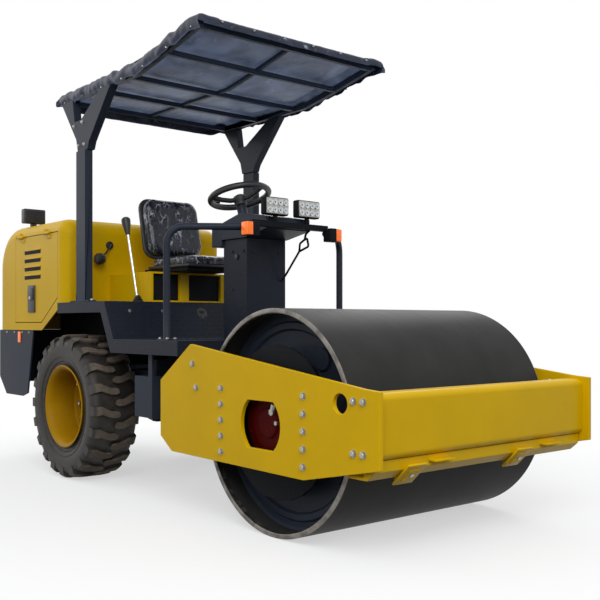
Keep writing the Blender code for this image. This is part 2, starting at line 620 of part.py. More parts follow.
# Operator's place -----------------------------------------------------------------------------
def seat(root):
    """The yellow seat box with two bays, the seat's frame, and its two plain cushions."""
    front = AXLE_X + 0.342
    half = 0.283
    crate = add("seat_box", box((HOOD_FRONT_X + GAP, -half, DECK_TOP + GAP), (front, half, SEAT_BOX_TOP)),
                "yellow_paint", root)
    for low, high in ((-half + 0.02, -0.074), (-0.007, half - 0.05)):
        cut(crate, box((HOOD_FRONT_X + 0.06, low, DECK_TOP + 0.012), (front + 0.02, high, SEAT_BOX_TOP - 0.012)))
    pan_x = (AXLE_X + 0.12, AXLE_X + 0.60)
    pan = add("seat_frame", box((pan_x[0], -0.19, SEAT_BOX_TOP + GAP), (pan_x[1], 0.19, SEAT_BOX_TOP + 0.022)),
              "black_paint", root)
    back_low, back_high, recline = 1.345, 1.73, 0.085 / 0.385

    def back_x(z):
        return AXLE_X + 0.137 - recline * (z - back_low)

    stay = 2 * GAP
    back_bar = [(AXLE_X + 0.09, SEAT_BOX_TOP + 0.004), (back_x(1.27) - stay, SEAT_BOX_TOP + 0.004),
                (back_x(1.27) - stay, 1.27), (back_x(1.62) - stay, 1.62), (back_x(1.62) - 0.018, 1.62)]
    join(pan, prism(back_bar, "y", -0.05, 0.05))
    cushion_low = SEAT_BOX_TOP + 0.022 + GAP
    add("seat_cushion", box((AXLE_X + 0.17, -0.21, cushion_low), (AXLE_X + 0.642, 0.21, 1.335)), "seat_vinyl", root)
    back = [(back_x(back_low), back_low), (back_x(back_low) + 0.085, back_low),
            (back_x(back_high) + 0.085, back_high), (back_x(back_high), back_high)]
    add("seat_back", prism(back, "y", -0.21, 0.21), "seat_vinyl", root)


def console(root):
    """The pedestal, the dash box on it, the steering column and the lamp bar in front."""
    foot_x = (DRUM_X - 1.055, DRUM_X - 0.84)
    add("console", box((foot_x[0], -CONSOLE_HALF, FLOOR_TOP + GAP), (foot_x[1], CONSOLE_HALF, 1.40)),
        "charcoal_paint", root)
    outline = [(-1.15, 1.365), (-1.056, 1.365), (-1.056, 1.40 + GAP), (-0.84, 1.40 + GAP), (-0.65, 1.435), (-0.65, 1.50),
               (-0.876, 1.539), (-0.99, 1.512), (-1.15, 1.47)]
    dash = add("dash", prism(shifted(outline, DRUM_X, 0), "y", -DASH_HALF, DASH_HALF), "charcoal_paint", root)
    lean = Vector((-math.sin(COLUMN_TILT), 0, math.cos(COLUMN_TILT)))
    centre = Vector((DRUM_X - 1.085, 0, 1.655))
    join(dash, rod(centre - lean * 0.17, centre - lean * 0.05, 0.028, 20))
    join(dash, rod(centre - lean * 0.07, centre + lean * 0.012, 0.012, 16))
    return centre, lean


def steering_wheel(joint, centre, lean):
    hub = turned([(-0.045, bore(0.012, 16)), (0.005, bore(0.012, 16)), (0.005, 0.03), (-0.045, 0.034)], centre, lean, 16)
    wheel = add("steering_wheel", hub, "black_plastic", joint)
    ring = [(0.01 + 0.015 * math.sin(math.radians(a)), STEERING_RADIUS - 0.015 + 0.015 * math.cos(math.radians(a)))
            for a in range(0, 360, 60)]
    join(wheel, turned(ring, centre, lean, 28))
    across = lean.orthogonal().normalized()
    for angle in (90, 210, 330):
        spoke = Matrix.Rotation(math.radians(angle), 3, lean) @ across
        join(wheel, rod(centre + spoke * 0.022 - lean * 0.02, centre + spoke * (STEERING_RADIUS - 0.015) + lean * 0.008,
                        0.011, 10))
    spot = centre + (Matrix.Rotation(math.radians(150), 3, lean) @ across) * (STEERING_RADIUS - 0.015)
    join(wheel, rod(spot, spot + lean * 0.055, 0.02, 14, end_radius=0.024))


def lamps(root):
    """The bar across the dash's front, its indicators, and the work lamps standing on it."""
    bar_x = (DRUM_X - 0.65 + GAP, DRUM_X - 0.62)
    bar = add("lamp_bar", box((bar_x[0], -0.262, 1.44), (bar_x[1], 0.262, 1.472)), "black_paint", root)
    for side in (-1, 1):
        low, high = sorted((side * 0.25, side * 0.325))
        join(bar, box((bar_x[0] + 0.003, low, 1.385), (bar_x[1] + 0.035, high, 1.455)))
    for name, side in (("right", -1), ("left", 1)):
        y = side * 0.111
        lamp = add(f"work_lamp_{name}", box((DRUM_X - 0.655, y - 0.08, 1.503), (DRUM_X - 0.60, y + 0.08, 1.598)),
                   "lamp_lens", root)
        join(lamp, box((DRUM_X - 0.645, y - 0.02, 1.472 + GAP), (DRUM_X - 0.621, y + 0.02, 1.51)))
    rear = add("rear_lamp", box((HOOD_REAR_X + 0.275, -0.552, 1.615), (HOOD_REAR_X + 0.33, -0.395, 1.725)), "black_plastic", root)
    join(rear, box((HOOD_REAR_X + 0.29, -0.495, HOOD_TOP + GAP), (HOOD_REAR_X + 0.315, -0.455, 1.63)))


def handrails(root):
    """Each rail rises from the floor, bends over and ends at the lamp bar."""
    bend = 0.09
    for name, side in (("handrail_right", -1), ("handrail_left", 1)):
        foot = Vector((DRUM_X - 0.90, side * 0.612, FLOOR_TOP + GAP))
        end = Vector((DRUM_X - 0.66, side * 0.2635, 1.43))
        flat = Vector((end.x - foot.x, end.y - foot.y, 0))
        away = flat.normalized()
        top = 1.435
        route = [foot, foot + Vector((0, 0, 0.2)), Vector((foot.x, foot.y, top - bend))]
        for step in range(1, 7):
            angle = math.radians(15 * step)
            route.append(Vector((foot.x, foot.y, top - bend)) + away * bend * (1 - math.cos(angle))
                         + Vector((0, 0, bend * math.sin(angle))))
        route.append(Vector((end.x, end.y, top)) - away * 0.04)
        rail = add(name, tube(route, 0.019), "charcoal_paint", root)
        low, high = sorted((side * 0.572, side * 0.642))
        join(rail, box((foot.x - 0.05, low, FLOOR_TOP + GAP), (foot.x + 0.05, high, FLOOR_TOP + 0.008)))


def canopy(root):
    """Two posts with forked heads, a tube frame that rises to the front, and the cover over it."""
    low_x, high_x = POST_X
    rail_y = (0.585, 0.615)
    for name, side in (("right", -1), ("left", 1)):
        inner = PLATFORM_HALF - POST_THICK
        low, high = sorted((side * inner, side * PLATFORM_HALF))
        post = add(f"canopy_post_{name}", box((low_x, low, DECK_TOP + GAP), (high_x, high, POST_TOP)), "charcoal_paint", root)
        join(post, box((low_x - 0.04, low - 0.001 * side, DECK_TOP + GAP), (high_x + 0.04, high - 0.001 * side, DECK_TOP + 0.01)))
        fork = [(0.0, POST_TOP + GAP), (0.125, POST_TOP + GAP), (0.145, 2.0), (0.402, CANOPY_BASE - GAP),
                (0.285, CANOPY_BASE - GAP), (0.038, 2.14), (-0.04, 2.14), (-0.065, CANOPY_BASE - GAP),
                (-0.215, CANOPY_BASE - GAP), (-0.02, 2.03)]
        low, high = sorted((side * 0.59, side * 0.64))
        add(f"canopy_fork_{name}", prism(shifted(fork, low_x, 0), "y", low, high), "charcoal_paint", root)
    rise = [(-0.132, 0.0), (0.742, 0.0), (0.944, 0.035), (1.34, 0.115)]
    depth = 0.035
    rail = rise + [(x, z + depth) for x, z in reversed(rise)]
    frame = add("canopy_frame", side_prism(shifted(rail, AXLE_X, CANOPY_BASE), 1, *rail_y), "charcoal_paint", root)
    join(frame, side_prism(shifted(rail, AXLE_X, CANOPY_BASE), -1, *rail_y))
    for x, z in ((-0.128, 0.0), (0.24, 0.0), (0.62, 0.0), (1.0, 0.0465), (1.30, 0.107)):
        join(frame, box((AXLE_X + x, -rail_y[0] - 0.01, CANOPY_BASE + z + 0.004),
                        (AXLE_X + x + 0.03, rail_y[0] + 0.01, CANOPY_BASE + z + 0.031)))
    lift = depth + GAP
    top_lift = lift + SHEET
    top = [(-0.15, top_lift), (0.742, top_lift), (0.944, top_lift + 0.035), (1.378, top_lift + 0.123)]
    hem = [(1.378, 0.128), (0.944, 0.035), (0.742, 0.0), (-0.15, 0.012)]
    cover = add("canopy_cover", prism(shifted(top + hem, AXLE_X, CANOPY_BASE), "y", -CANOPY_HALF, CANOPY_HALF),
                "tarp_fabric", root)
    room = [(-0.144, lift), (0.742, lift), (0.944, lift + 0.035), (1.372, lift + 0.1217), (1.372, -0.1), (-0.144, -0.1)]
    cut(cover, prism(shifted(room, AXLE_X, CANOPY_BASE), "y", -CANOPY_HALF + 0.006, CANOPY_HALF - 0.006))


def levers(root):
    """The travel lever beside the seat and the throttle knob on the hood's front."""
    foot = Vector((AXLE_X + 0.307, -0.35, DECK_TOP + GAP))
    knob = Vector((AXLE_X + 0.164, -0.35, 1.555))
    lever = add("travel_lever", box((foot.x - 0.04, -0.385, DECK_TOP + GAP), (foot.x + 0.03, -0.315, DECK_TOP + 0.02)),
                "black_paint", root)
    join(lever, rod(foot + Vector((0, 0, 0.01)), knob, 0.008, 12), ball(knob, 0.026))
    y, z = -0.29, 1.435
    knob = Vector((HOOD_FRONT_X + 0.055, y - 0.095, z - 0.094))
    throttle = add("throttle_lever", rod((HOOD_FRONT_X + GAP, y, z), (HOOD_FRONT_X + 0.02, y, z), 0.025, 16),
                   "black_plastic", root)
    join(throttle, rod((HOOD_FRONT_X + 0.012, y, z), knob, 0.006, 10), ball(knob, 0.04))


# Wheels ---------------------------------------------------------------------------------------
def wheels(joints):
    """Each rim is a deep dish with its disc far in, and the tyre is a plain turned body round it."""
    middle = (WHEEL_INNER + WHEEL_OUTER) / 2
    for name, side in (("right", -1), ("left", 1)):
        joint = joints[name]
        centre = (AXLE_X, 0, WHEEL_RADIUS)
        outward = (0, side, 0)
        hole = bore(HUB_RADIUS, WHEEL_STEPS)
        well = RIM_RADIUS - 0.02
        rim = [(WHEEL_INNER + 0.03, RIM_RADIUS), (WHEEL_INNER + 0.03, well - 0.008), (WHEEL_DISC - 0.012, well - 0.008),
               (WHEEL_DISC - 0.012, hole), (WHEEL_DISC, hole), (WHEEL_DISC, well - 0.008), (WHEEL_OUTER - 0.02, well - 0.008),
               (WHEEL_OUTER - 0.02, RIM_RADIUS + 0.01), (WHEEL_OUTER - 0.03, RIM_RADIUS + 0.01), (WHEEL_OUTER - 0.04, well),
               (WHEEL_INNER + 0.05, well), (WHEEL_INNER + 0.04, RIM_RADIUS)]
        add(f"rim_{name}", turned(rim, centre, outward, WHEEL_STEPS), "yellow_paint", joint)
        half = (WHEEL_OUTER - WHEEL_INNER) / 2
        seat_radius = well + GAP
        profile = [(-half + 0.055, seat_radius), (half - 0.045, seat_radius), (half - 0.031, RIM_RADIUS + 0.012),
                   (half - 0.008, RIM_RADIUS + 0.03), (half, WHEEL_RADIUS - 0.10), (half - 0.012, WHEEL_RADIUS - 0.02),
                   (half - 0.035, WHEEL_RADIUS), (-half + 0.035, WHEEL_RADIUS), (-half + 0.012, WHEEL_RADIUS - 0.02),
                   (-half, WHEEL_RADIUS - 0.10), (-half + 0.015, RIM_RADIUS + 0.03), (-half + 0.045, RIM_RADIUS + 0.005)]
        tyre = [(middle + along, radius) for along, radius in profile]
        add(f"tyre_{name}", turned(tyre, centre, outward, WHEEL_STEPS), "tyre_rubber", joint)


def main():
    clear_scene()
    tractor = joint_empty("tractor_frame", (0, 0, 0))
    steer = joint_empty("steering_pivot", (PIVOT_X, 0, ROLL_Z))
    roll = joint_empty("rolling_axis", (DRUM_X - 0.80, 0, ROLL_Z))
    drum_axis = joint_empty("drum_axis", (DRUM_X, 0, DRUM_RADIUS))
    side_of = {"right": -1, "left": 1}
    rear_axis = {name: joint_empty(f"wheel_axis_{name}", (AXLE_X, 0, WHEEL_RADIUS)) for name in side_of}
    door_axis = {
        name: joint_empty(f"door_hinge_{name}",
                          (AXLE_X - 0.583, side * (HOOD_HALF + HINGE_RADIUS + GAP), DOOR_HIGH + DOOR_GAP / 2))
        for name, side in side_of.items()
    }
    barrels = {name: joint_empty(f"barrel_pin_{name}", (PIVOT_X - CYLINDER_REAR, side * CYLINDER_Y, ROLL_Z))
               for name, side in side_of.items()}
    rods = {name: joint_empty(f"rod_axis_{name}", (PIVOT_X + CYLINDER_FRONT, side * CYLINDER_Y, ROLL_Z))
            for name, side in side_of.items()}

    side_plates(roll)
    front_beam(roll)
    rear_yoke(roll)
    drum_carriers(roll)
    scrapers(roll)
    drum(drum_axis)
    centre_knuckle(steer)
    steering_cylinders(barrels, rods)
    chassis(tractor)
    rear_axle(tractor)
    engine(tractor)
    platform(tractor)
    platform_legs(tractor)
    step_boxes(tractor)
    hood(tractor)
    hood_doors(door_axis)
    rear_skirt(tractor)
    seat(tractor)
    centre, lean = console(tractor)
    steering_wheel(joint_empty("steering_wheel_axis", centre), centre, lean)
    lamps(tractor)
    handrails(tractor)
    canopy(tractor)
    levers(tractor)
    wheels(rear_axis)


main()
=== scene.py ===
"""Finished look of a single-drum road roller with a fabric canopy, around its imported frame.

Metres, +Z up, +X towards the drum, +Y to the machine's left.
"""

import json
import math
import random

import bmesh
import bpy
from bpy.props import FloatProperty, IntProperty, PointerProperty, StringProperty
from bpy.types import Operator, Panel, PropertyGroup
from mathutils import Matrix, Vector, noise


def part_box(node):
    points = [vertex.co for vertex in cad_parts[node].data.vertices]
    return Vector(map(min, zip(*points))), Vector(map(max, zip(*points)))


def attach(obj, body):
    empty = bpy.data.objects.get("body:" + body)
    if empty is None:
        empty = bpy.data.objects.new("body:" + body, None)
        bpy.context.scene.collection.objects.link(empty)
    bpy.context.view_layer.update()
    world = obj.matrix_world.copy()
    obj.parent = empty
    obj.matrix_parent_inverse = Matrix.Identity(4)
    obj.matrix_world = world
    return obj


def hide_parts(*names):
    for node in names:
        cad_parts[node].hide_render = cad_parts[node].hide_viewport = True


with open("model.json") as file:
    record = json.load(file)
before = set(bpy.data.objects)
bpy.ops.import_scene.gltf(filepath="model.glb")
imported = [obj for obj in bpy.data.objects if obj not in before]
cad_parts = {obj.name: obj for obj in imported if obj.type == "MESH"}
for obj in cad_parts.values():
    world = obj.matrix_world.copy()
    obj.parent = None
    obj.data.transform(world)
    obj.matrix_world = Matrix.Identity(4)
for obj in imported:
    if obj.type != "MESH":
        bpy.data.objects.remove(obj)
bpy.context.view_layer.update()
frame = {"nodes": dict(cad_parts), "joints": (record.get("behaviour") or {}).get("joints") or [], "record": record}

bl_info = {
    "name": "Road Roller Finish",
    "version": (1, 0, 0),
    "blender": (4, 5, 0),
    "location": "View3D > Sidebar > Roller",
    "description": "Builds the detailed pieces and finishes of a ride-on road roller",
    "category": "Object",
}

# Places taken from the frame --------------------------------------------------------------------
BODY_OF = {n: body for body, nodes in frame["record"]["behaviour"]["bodies"].items() for n in nodes}
SLOT_OF = {part["node"]: part["material_slot"] for part in frame["record"]["subparts"]}


def middle(node):
    low, high = (Vector(corner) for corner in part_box(node))
    return (low + high) / 2


def reach(node, axis, end):
    """One end of a node's box along an axis: end 0 is the low one, 1 the high one."""
    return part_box(node)[end][axis]


DRUM = middle("drum")
DRUM_RADIUS = (reach("drum", 2, 1) - reach("drum", 2, 0)) / 2
DRUM_HALF = reach("drum", 1, 1)
AXLE = Vector((middle("tyre_right").x, 0, middle("tyre_right").z))
TYRE_RADIUS = reach("tyre_right", 2, 1) - AXLE.z
PLATE_OUTER = reach("side_plate_left", 1, 1)
PLATE_INNER = reach("side_plate_left", 1, 0)
HOOD_LOW, HOOD_HIGH = (Vector(c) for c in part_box("hood"))
HOOD_HALF = reach("rear_skirt", 1, 1) + 0.002
DOOR_LOW, DOOR_HIGH = (Vector(c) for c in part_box("hood_door_right"))
DECK_TOP = reach("platform", 2, 1)
FLOOR_TOP = reach("platform_bearer_front", 2, 1) + 0.0063
PLATFORM_HALF = reach("platform", 1, 1)
STEER_AXIS = Vector(next(j for j in frame["joints"] if j["name"] == "steering_wheel_turn")["axis"])
STEER_HUB = Vector(next(j for j in frame["joints"] if j["name"] == "steering_wheel_turn")["pos_m"])


# Sizes and colours a user would change ----------------------------------------------------------
class RollerSizes(PropertyGroup):
    """Sizes of the details."""

    bolt_across: FloatProperty(name="Bolt head", description="Across the flats", default=0.021, unit="LENGTH")
    lug_height: FloatProperty(name="Lug height", description="Tread depth of the tyres", default=0.026, unit="LENGTH")
    lugs: IntProperty(name="Lugs", description="Lugs in each row of a tyre", default=20)
    tread_pitch: FloatProperty(name="Tread plate pitch", description="Between raised bars", default=0.03,
                               unit="LENGTH")
    edge: FloatProperty(name="Edge radius", description="Rounding of folded sheet edges", default=0.0025,
                        unit="LENGTH")
    valance: FloatProperty(name="Valance", description="How far the canopy cloth hangs at its edge", default=0.075,
                           unit="LENGTH")
    film_wrinkle: FloatProperty(name="Film wrinkle", description="Height of the seat film's folds", default=0.0035,
                                unit="LENGTH")


class RollerColours(PropertyGroup):
    """Colours as sRGB hex values."""

    yellow: StringProperty(name="Yellow", description="Enamel of hood, drum frame and rims", default="E0B400")
    charcoal: StringProperty(name="Charcoal", description="Enamel of posts, rails and console", default="2C323E")
    chequer: StringProperty(name="Chequer plate", description="Enamel of the tread plate", default="1F242F")
    black: StringProperty(name="Black", description="Enamel of axle, engine and brackets", default="1D1E21")
    # Darkened to paint the shade inside the side-plate ports.
    red: StringProperty(name="Red primer", description="Drum drive housing", default="4A0404")
    drum: StringProperty(name="Drum", description="Rolled steel", default="353534")
    rubber: StringProperty(name="Rubber", description="Tyre sidewalls", default="211F1E")
    dust: StringProperty(name="Dust", description="Worn tops of the lugs", default="6A5F53")
    tarp: StringProperty(name="Tarpaulin", description="Canopy cloth", default="222A3F")
    vinyl: StringProperty(name="Vinyl", description="Seat covers", default="131826")
    amber: StringProperty(name="Amber", description="Indicator lenses", default="FF7010")


def sizes():
    return bpy.context.scene.roller_sizes


def colours():
    return bpy.context.scene.roller_colours


# Materials --------------------------------------------------------------------------------------
def linear(code):
    """An sRGB hex value as a linear colour."""
    parts = [int(code[i:i + 2], 16) / 255 for i in (0, 2, 4)]
    return (*[c / 12.92 if c <= 0.04045 else ((c + 0.055) / 1.055) ** 2.4 for c in parts], 1)


def add_node(tree, kind, settings=None, links=None):
    """Adds a node: settings are its own values, links its inputs by name or number, as a value or a socket."""
    node = tree.nodes.new(kind)
    for name, value in (settings or {}).items():
        setattr(node, name, value)
    for name, value in (links or {}).items():
        if isinstance(value, bpy.types.NodeSocket):
            tree.links.new(value, node.inputs[name])
        else:
            node.inputs[name].default_value = value
    return node


def start_material(name, **values):
    """A new Principled material with plain socket values, and its node tree, shader and Object coordinates."""
    material = bpy.data.materials.new(name)
    material.use_nodes = True
    tree = material.node_tree
    shader = tree.nodes["Principled BSDF"]
    for socket, value in values.items():
        shader.inputs[socket.replace("_", " ")].default_value = value
    where = add_node(tree, "ShaderNodeTexCoord").outputs["Object"]
    return material, tree, shader, where


def ramp(tree, factor, stops):
    """A colour ramp of (place, colour) stops."""
    node = add_node(tree, "ShaderNodeValToRGB", links={"Fac": factor})
    band = node.color_ramp.elements
    while len(band) < len(stops):
        band.new(0.5)
    for element, (place, colour) in zip(band, stops):
        element.position = place
        element.color = colour
    return node.outputs["Color"]


def shade(code, factor):
    colour = linear(code)
    return (*[min(1, c * factor) for c in colour[:3]], 1)


def bumped(tree, shader, height, depth, strength=1.0):
    bump = add_node(tree, "ShaderNodeBump", links={"Height": height, "Distance": depth, "Strength": strength})
    tree.links.new(bump.outputs["Normal"], shader.inputs["Normal"])


def enamel(name, code, rough=0.3, grime=0.16, coat=0.35, shine=0.1):
    """Sprayed enamel on sheet steel: a fine orange peel, faint cloudy shade, and fine dust specks scattered at random.
    """
    material, tree, shader, where = start_material(name, Coat_Weight=coat, Coat_Roughness=0.12, IOR=1.5,
                                                   Specular_IOR_Level=shine)
    cloud = add_node(tree, "ShaderNodeTexNoise", links={"Vector": where, "Scale": 3.0, "Detail": 4.0})
    tone = ramp(tree, cloud.outputs["Fac"], [(0.3, shade(code, 1 - grime)), (0.7, shade(code, 1.03))])
    speck = add_node(tree, "ShaderNodeTexNoise", links={"Vector": where, "Scale": 55.0, "Detail": 6.0})
    dust = add_node(tree, "ShaderNodeMapRange", links={"Value": speck.outputs["Fac"], "From Min": 0.62, "From Max": 0.8,
                                                     "To Min": 0.0, "To Max": 0.1})
    mixed = add_node(tree, "ShaderNodeMix", {"data_type": "RGBA"},
                     {0: dust.outputs["Result"], 6: tone, 7: linear("8A7F6C")})
    tree.links.new(mixed.outputs[2], shader.inputs["Base Color"])
    gloss = add_node(tree, "ShaderNodeMapRange", links={"Value": cloud.outputs["Fac"], "To Min": rough - 0.05,
                                                      "To Max": rough + 0.12})
    tree.links.new(gloss.outputs["Result"], shader.inputs["Roughness"])
    # Orange peel is about 3 mm from crest to crest.
    peel = add_node(tree, "ShaderNodeTexNoise", links={"Vector": where, "Scale": 330.0, "Detail": 1.0})
    bumped(tree, shader, peel.outputs["Fac"], 0.0002, 0.35)
    return material


def rolled_steel():
    """The drum's ground shell: dark mill scale worn to a satin, with fine rings round it and a few stains."""
    code = colours().drum
    material, tree, shader, where = start_material("rolled_drum_steel", Metallic=0.12, Specular_IOR_Level=0.04)
    stretch = add_node(tree, "ShaderNodeMapping", links={"Vector": where, "Scale": (4.0, 90.0, 4.0)})
    rings = add_node(tree, "ShaderNodeTexNoise", links={"Vector": stretch.outputs[0], "Scale": 1.0, "Detail": 5.0})
    stain = add_node(tree, "ShaderNodeTexNoise", links={"Vector": where, "Scale": 5.0, "Detail": 6.0})
    tone = ramp(tree, stain.outputs["Fac"], [(0.3, shade(code, 0.82)), (0.6, shade(code, 1.0)), (0.8, shade(code, 1.18))])
    tree.links.new(tone, shader.inputs["Base Color"])
    rough = add_node(tree, "ShaderNodeMapRange", links={"Value": rings.outputs["Fac"], "To Min": 0.40, "To Max": 0.52})
    tree.links.new(rough.outputs["Result"], shader.inputs["Roughness"])
    bumped(tree, shader, rings.outputs["Fac"], 0.00015, 0.3)
    return material


def worn_steel():
    """The drum's ground edge ring: paler, with brownish bloom."""
    material, tree, shader, where = start_material("worn_edge_steel", Metallic=0.5, Roughness=0.5)
    bloom = add_node(tree, "ShaderNodeTexNoise", links={"Vector": where, "Scale": 14.0, "Detail": 6.0})
    tone = ramp(tree, bloom.outputs["Fac"], [(0.35, linear("5E5A55")), (0.55, linear("8B867F")), (0.75, linear("7A6251"))])
    tree.links.new(tone, shader.inputs["Base Color"])
    bumped(tree, shader, bloom.outputs["Fac"], 0.0005, 0.4)
    return material


def zinc():
    """Zinc-plated steel: a pale satin with a faint crystalline bloom."""
    material, tree, shader, where = start_material("zinc_plate", Metallic=0.85)
    grain = add_node(tree, "ShaderNodeTexVoronoi", links={"Vector": where, "Scale": 260.0})
    tone = ramp(tree, grain.outputs["Distance"], [(0.0, linear("B9B9B2")), (1.0, linear("8E8E86"))])
    tree.links.new(tone, shader.inputs["Base Color"])
    rough = add_node(tree, "ShaderNodeMapRange", links={"Value": grain.outputs["Distance"], "To Min": 0.28, "To Max": 0.45})
    tree.links.new(rough.outputs["Result"], shader.inputs["Roughness"])
    return material


def chrome():
    """Hard chrome on the cylinder rods and the lever: bright, with fine grinding lines along the bar."""
    material, tree, shader, where = start_material("hard_chrome", Metallic=1.0)
    lines = add_node(tree, "ShaderNodeTexNoise", links={"Vector": where, "Scale": 240.0, "Detail": 3.0})
    tone = ramp(tree, lines.outputs["Fac"], [(0.3, linear("C9CCCE")), (0.7, linear("E4E6E7"))])
    tree.links.new(tone, shader.inputs["Base Color"])
    rough = add_node(tree, "ShaderNodeMapRange", links={"Value": lines.outputs["Fac"], "To Min": 0.12, "To Max": 0.26})
    tree.links.new(rough.outputs["Result"], shader.inputs["Roughness"])
    return material


def moulded_rubber():
    """Tyre rubber: near black with a dusty brown bloom on the lug tops, which lie furthest from the axle."""
    material, tree, shader, where = start_material("moulded_rubber", IOR=1.52)
    shader.inputs["Specular IOR Level"].default_value = 0.35
    centre = add_node(tree, "ShaderNodeMapping", links={"Vector": where, "Location": (-AXLE.x, 0.0, -AXLE.z)})
    split = add_node(tree, "ShaderNodeSeparateXYZ", links={0: centre.outputs[0]})
    flat = add_node(tree, "ShaderNodeCombineXYZ", links={"X": split.outputs["X"], "Z": split.outputs["Z"]})
    radius = add_node(tree, "ShaderNodeVectorMath", {"operation": "LENGTH"}, {0: flat.outputs[0]})
    patch = add_node(tree, "ShaderNodeTexNoise", links={"Vector": where, "Scale": 26.0, "Detail": 7.0, "Roughness": 0.65})
    top = add_node(tree, "ShaderNodeMapRange", {"interpolation_type": "SMOOTHSTEP"},
                   {"Value": radius.outputs["Value"], "From Min": TYRE_RADIUS - 0.016, "From Max": TYRE_RADIUS - 0.004})
    amount = add_node(tree, "ShaderNodeMapRange", links={"Value": patch.outputs["Fac"], "From Min": 0.25, "From Max": 0.6,
                                                       "To Min": 0.35, "To Max": 1.0})
    both = add_node(tree, "ShaderNodeMath", {"operation": "MULTIPLY"}, {0: top.outputs[0], 1: amount.outputs[0]})
    side = ramp(tree, patch.outputs["Fac"], [(0.35, linear(colours().rubber)), (0.75, shade(colours().dust, 0.28))])
    mixed = add_node(tree, "ShaderNodeMix", {"data_type": "RGBA"}, {0: both.outputs[0], 6: side, 7: linear(colours().dust)})
    tree.links.new(mixed.outputs[2], shader.inputs["Base Color"])
    rough = add_node(tree, "ShaderNodeMapRange", links={"Value": both.outputs[0], "To Min": 0.55, "To Max": 0.9})
    tree.links.new(rough.outputs["Result"], shader.inputs["Roughness"])
    bumped(tree, shader, patch.outputs["Fac"], 0.0012, 0.5)
    return material


def filmed_vinyl():
    """Black seat vinyl in its clear wrapping film: sharp creases with painted bright highlights over a leather grain.
    """
    material, tree, shader, where = start_material("filmed_vinyl", Coat_Weight=0.4, Coat_Roughness=0.08, IOR=1.48,
                                                   Specular_IOR_Level=0.2)
    warp = add_node(tree, "ShaderNodeTexNoise", links={"Vector": where, "Scale": 9.0, "Detail": 3.0})
    moved = add_node(tree, "ShaderNodeMix", {"data_type": "VECTOR"}, {0: 0.12, 4: where, 5: warp.outputs["Color"]})
    streak = add_node(tree, "ShaderNodeMapping", links={"Vector": moved.outputs[1], "Scale": (0.8, 1.3, 0.5)})
    crease = add_node(tree, "ShaderNodeTexVoronoi", {"feature": "DISTANCE_TO_EDGE"},
                      {"Vector": streak.outputs[0], "Scale": 26.0})
    line = add_node(tree, "ShaderNodeMapRange", links={"Value": crease.outputs["Distance"], "From Min": 0.0,
                                                     "From Max": 0.07, "To Min": 1.0, "To Max": 0.0})
    patch = add_node(tree, "ShaderNodeTexNoise", links={"Vector": where, "Scale": 16.0, "Detail": 5.0})
    shown = add_node(tree, "ShaderNodeMapRange", links={"Value": patch.outputs["Fac"], "From Min": 0.47, "From Max": 0.62})
    # The pale crease lines are painted highlights of the film, mixed into the base colour.
    painted_glint = add_node(tree, "ShaderNodeMath", {"operation": "MULTIPLY"}, {0: line.outputs[0], 1: shown.outputs[0]})
    faint = add_node(tree, "ShaderNodeMath", {"operation": "MULTIPLY"}, {0: painted_glint.outputs[0], 1: 0.6})
    mixed = add_node(tree, "ShaderNodeMix", {"data_type": "RGBA"},
                     {0: faint.outputs[0], 6: linear(colours().vinyl), 7: linear("D3DCE8")})
    tree.links.new(mixed.outputs[2], shader.inputs["Base Color"])
    shader.inputs["Roughness"].default_value = 0.32
    folds = add_node(tree, "ShaderNodeTexNoise", links={"Vector": streak.outputs[0], "Scale": 34.0, "Detail": 4.0,
                                                      "Distortion": 1.4})
    bumped(tree, shader, folds.outputs["Fac"], 0.008, 0.9)
    return material


def coated_tarp():
    """PVC-coated polyester: glossy navy with soft creases and pale painted glints along the folds; painted emission on
    its underside stands in for daylight soaking through.
    """
    material, tree, shader, where = start_material("coated_tarpaulin", Coat_Roughness=0.3, Roughness=0.5, IOR=1.5,
                                                   Specular_IOR_Level=0.3)
    cloud = add_node(tree, "ShaderNodeTexNoise", links={"Vector": where, "Scale": 6.0, "Detail": 3.0, "Distortion": 0.8})
    code = colours().tarp
    tone = ramp(tree, cloud.outputs["Fac"], [(0.3, shade(code, 0.6)), (0.7, shade(code, 1.25))])
    drawn = add_node(tree, "ShaderNodeMapping", links={"Vector": where, "Scale": (5.0, 15.0, 15.0)})
    fold = add_node(tree, "ShaderNodeTexNoise", links={"Vector": drawn.outputs[0], "Scale": 1.0, "Detail": 4.0,
                                                     "Distortion": 1.2})
    # The pale streaks along the folds are painted glints, mixed into the base colour.
    painted_glint = add_node(tree, "ShaderNodeMapRange", links={"Value": fold.outputs["Fac"], "From Min": 0.62, "From Max": 0.74})
    outer = add_node(tree, "ShaderNodeMix", {"data_type": "RGBA"}, {0: painted_glint.outputs[0], 6: tone, 7: linear("A9B2C6")})
    tree.links.new(outer.outputs[2], shader.inputs["Base Color"])
    side = add_node(tree, "ShaderNodeSeparateXYZ", links={0: add_node(tree, "ShaderNodeTexCoord").outputs["Normal"]})
    under = add_node(tree, "ShaderNodeMapRange", links={"Value": side.outputs["Z"], "From Min": -0.9, "From Max": -0.5,
                                                      "To Min": 1.0, "To Max": 0.0})
    # The underside's emission is painted light, standing in for daylight seen through the cloth.
    underside_painted_light = add_node(tree, "ShaderNodeMath", {"operation": "MULTIPLY"}, {0: under.outputs[0], 1: cloud.outputs["Fac"]})
    shader.inputs["Emission Color"].default_value = linear("57637A")
    tree.links.new(underside_painted_light.outputs[0], shader.inputs["Emission Strength"])
    coat = add_node(tree, "ShaderNodeMapRange", links={"Value": under.outputs[0], "To Min": 0.15, "To Max": 0.05})
    tree.links.new(coat.outputs[0], shader.inputs["Coat Weight"])
    weave = add_node(tree, "ShaderNodeTexWave", links={"Vector": where, "Scale": 80.0, "Distortion": 0.6, "Detail": 1.0})
    total = add_node(tree, "ShaderNodeMath", {"operation": "MULTIPLY_ADD"},
                     {0: weave.outputs["Fac"], 1: 0.02, 2: cloud.outputs["Fac"]})
    bumped(tree, shader, total.outputs[0], 0.004, 0.5)
    return material


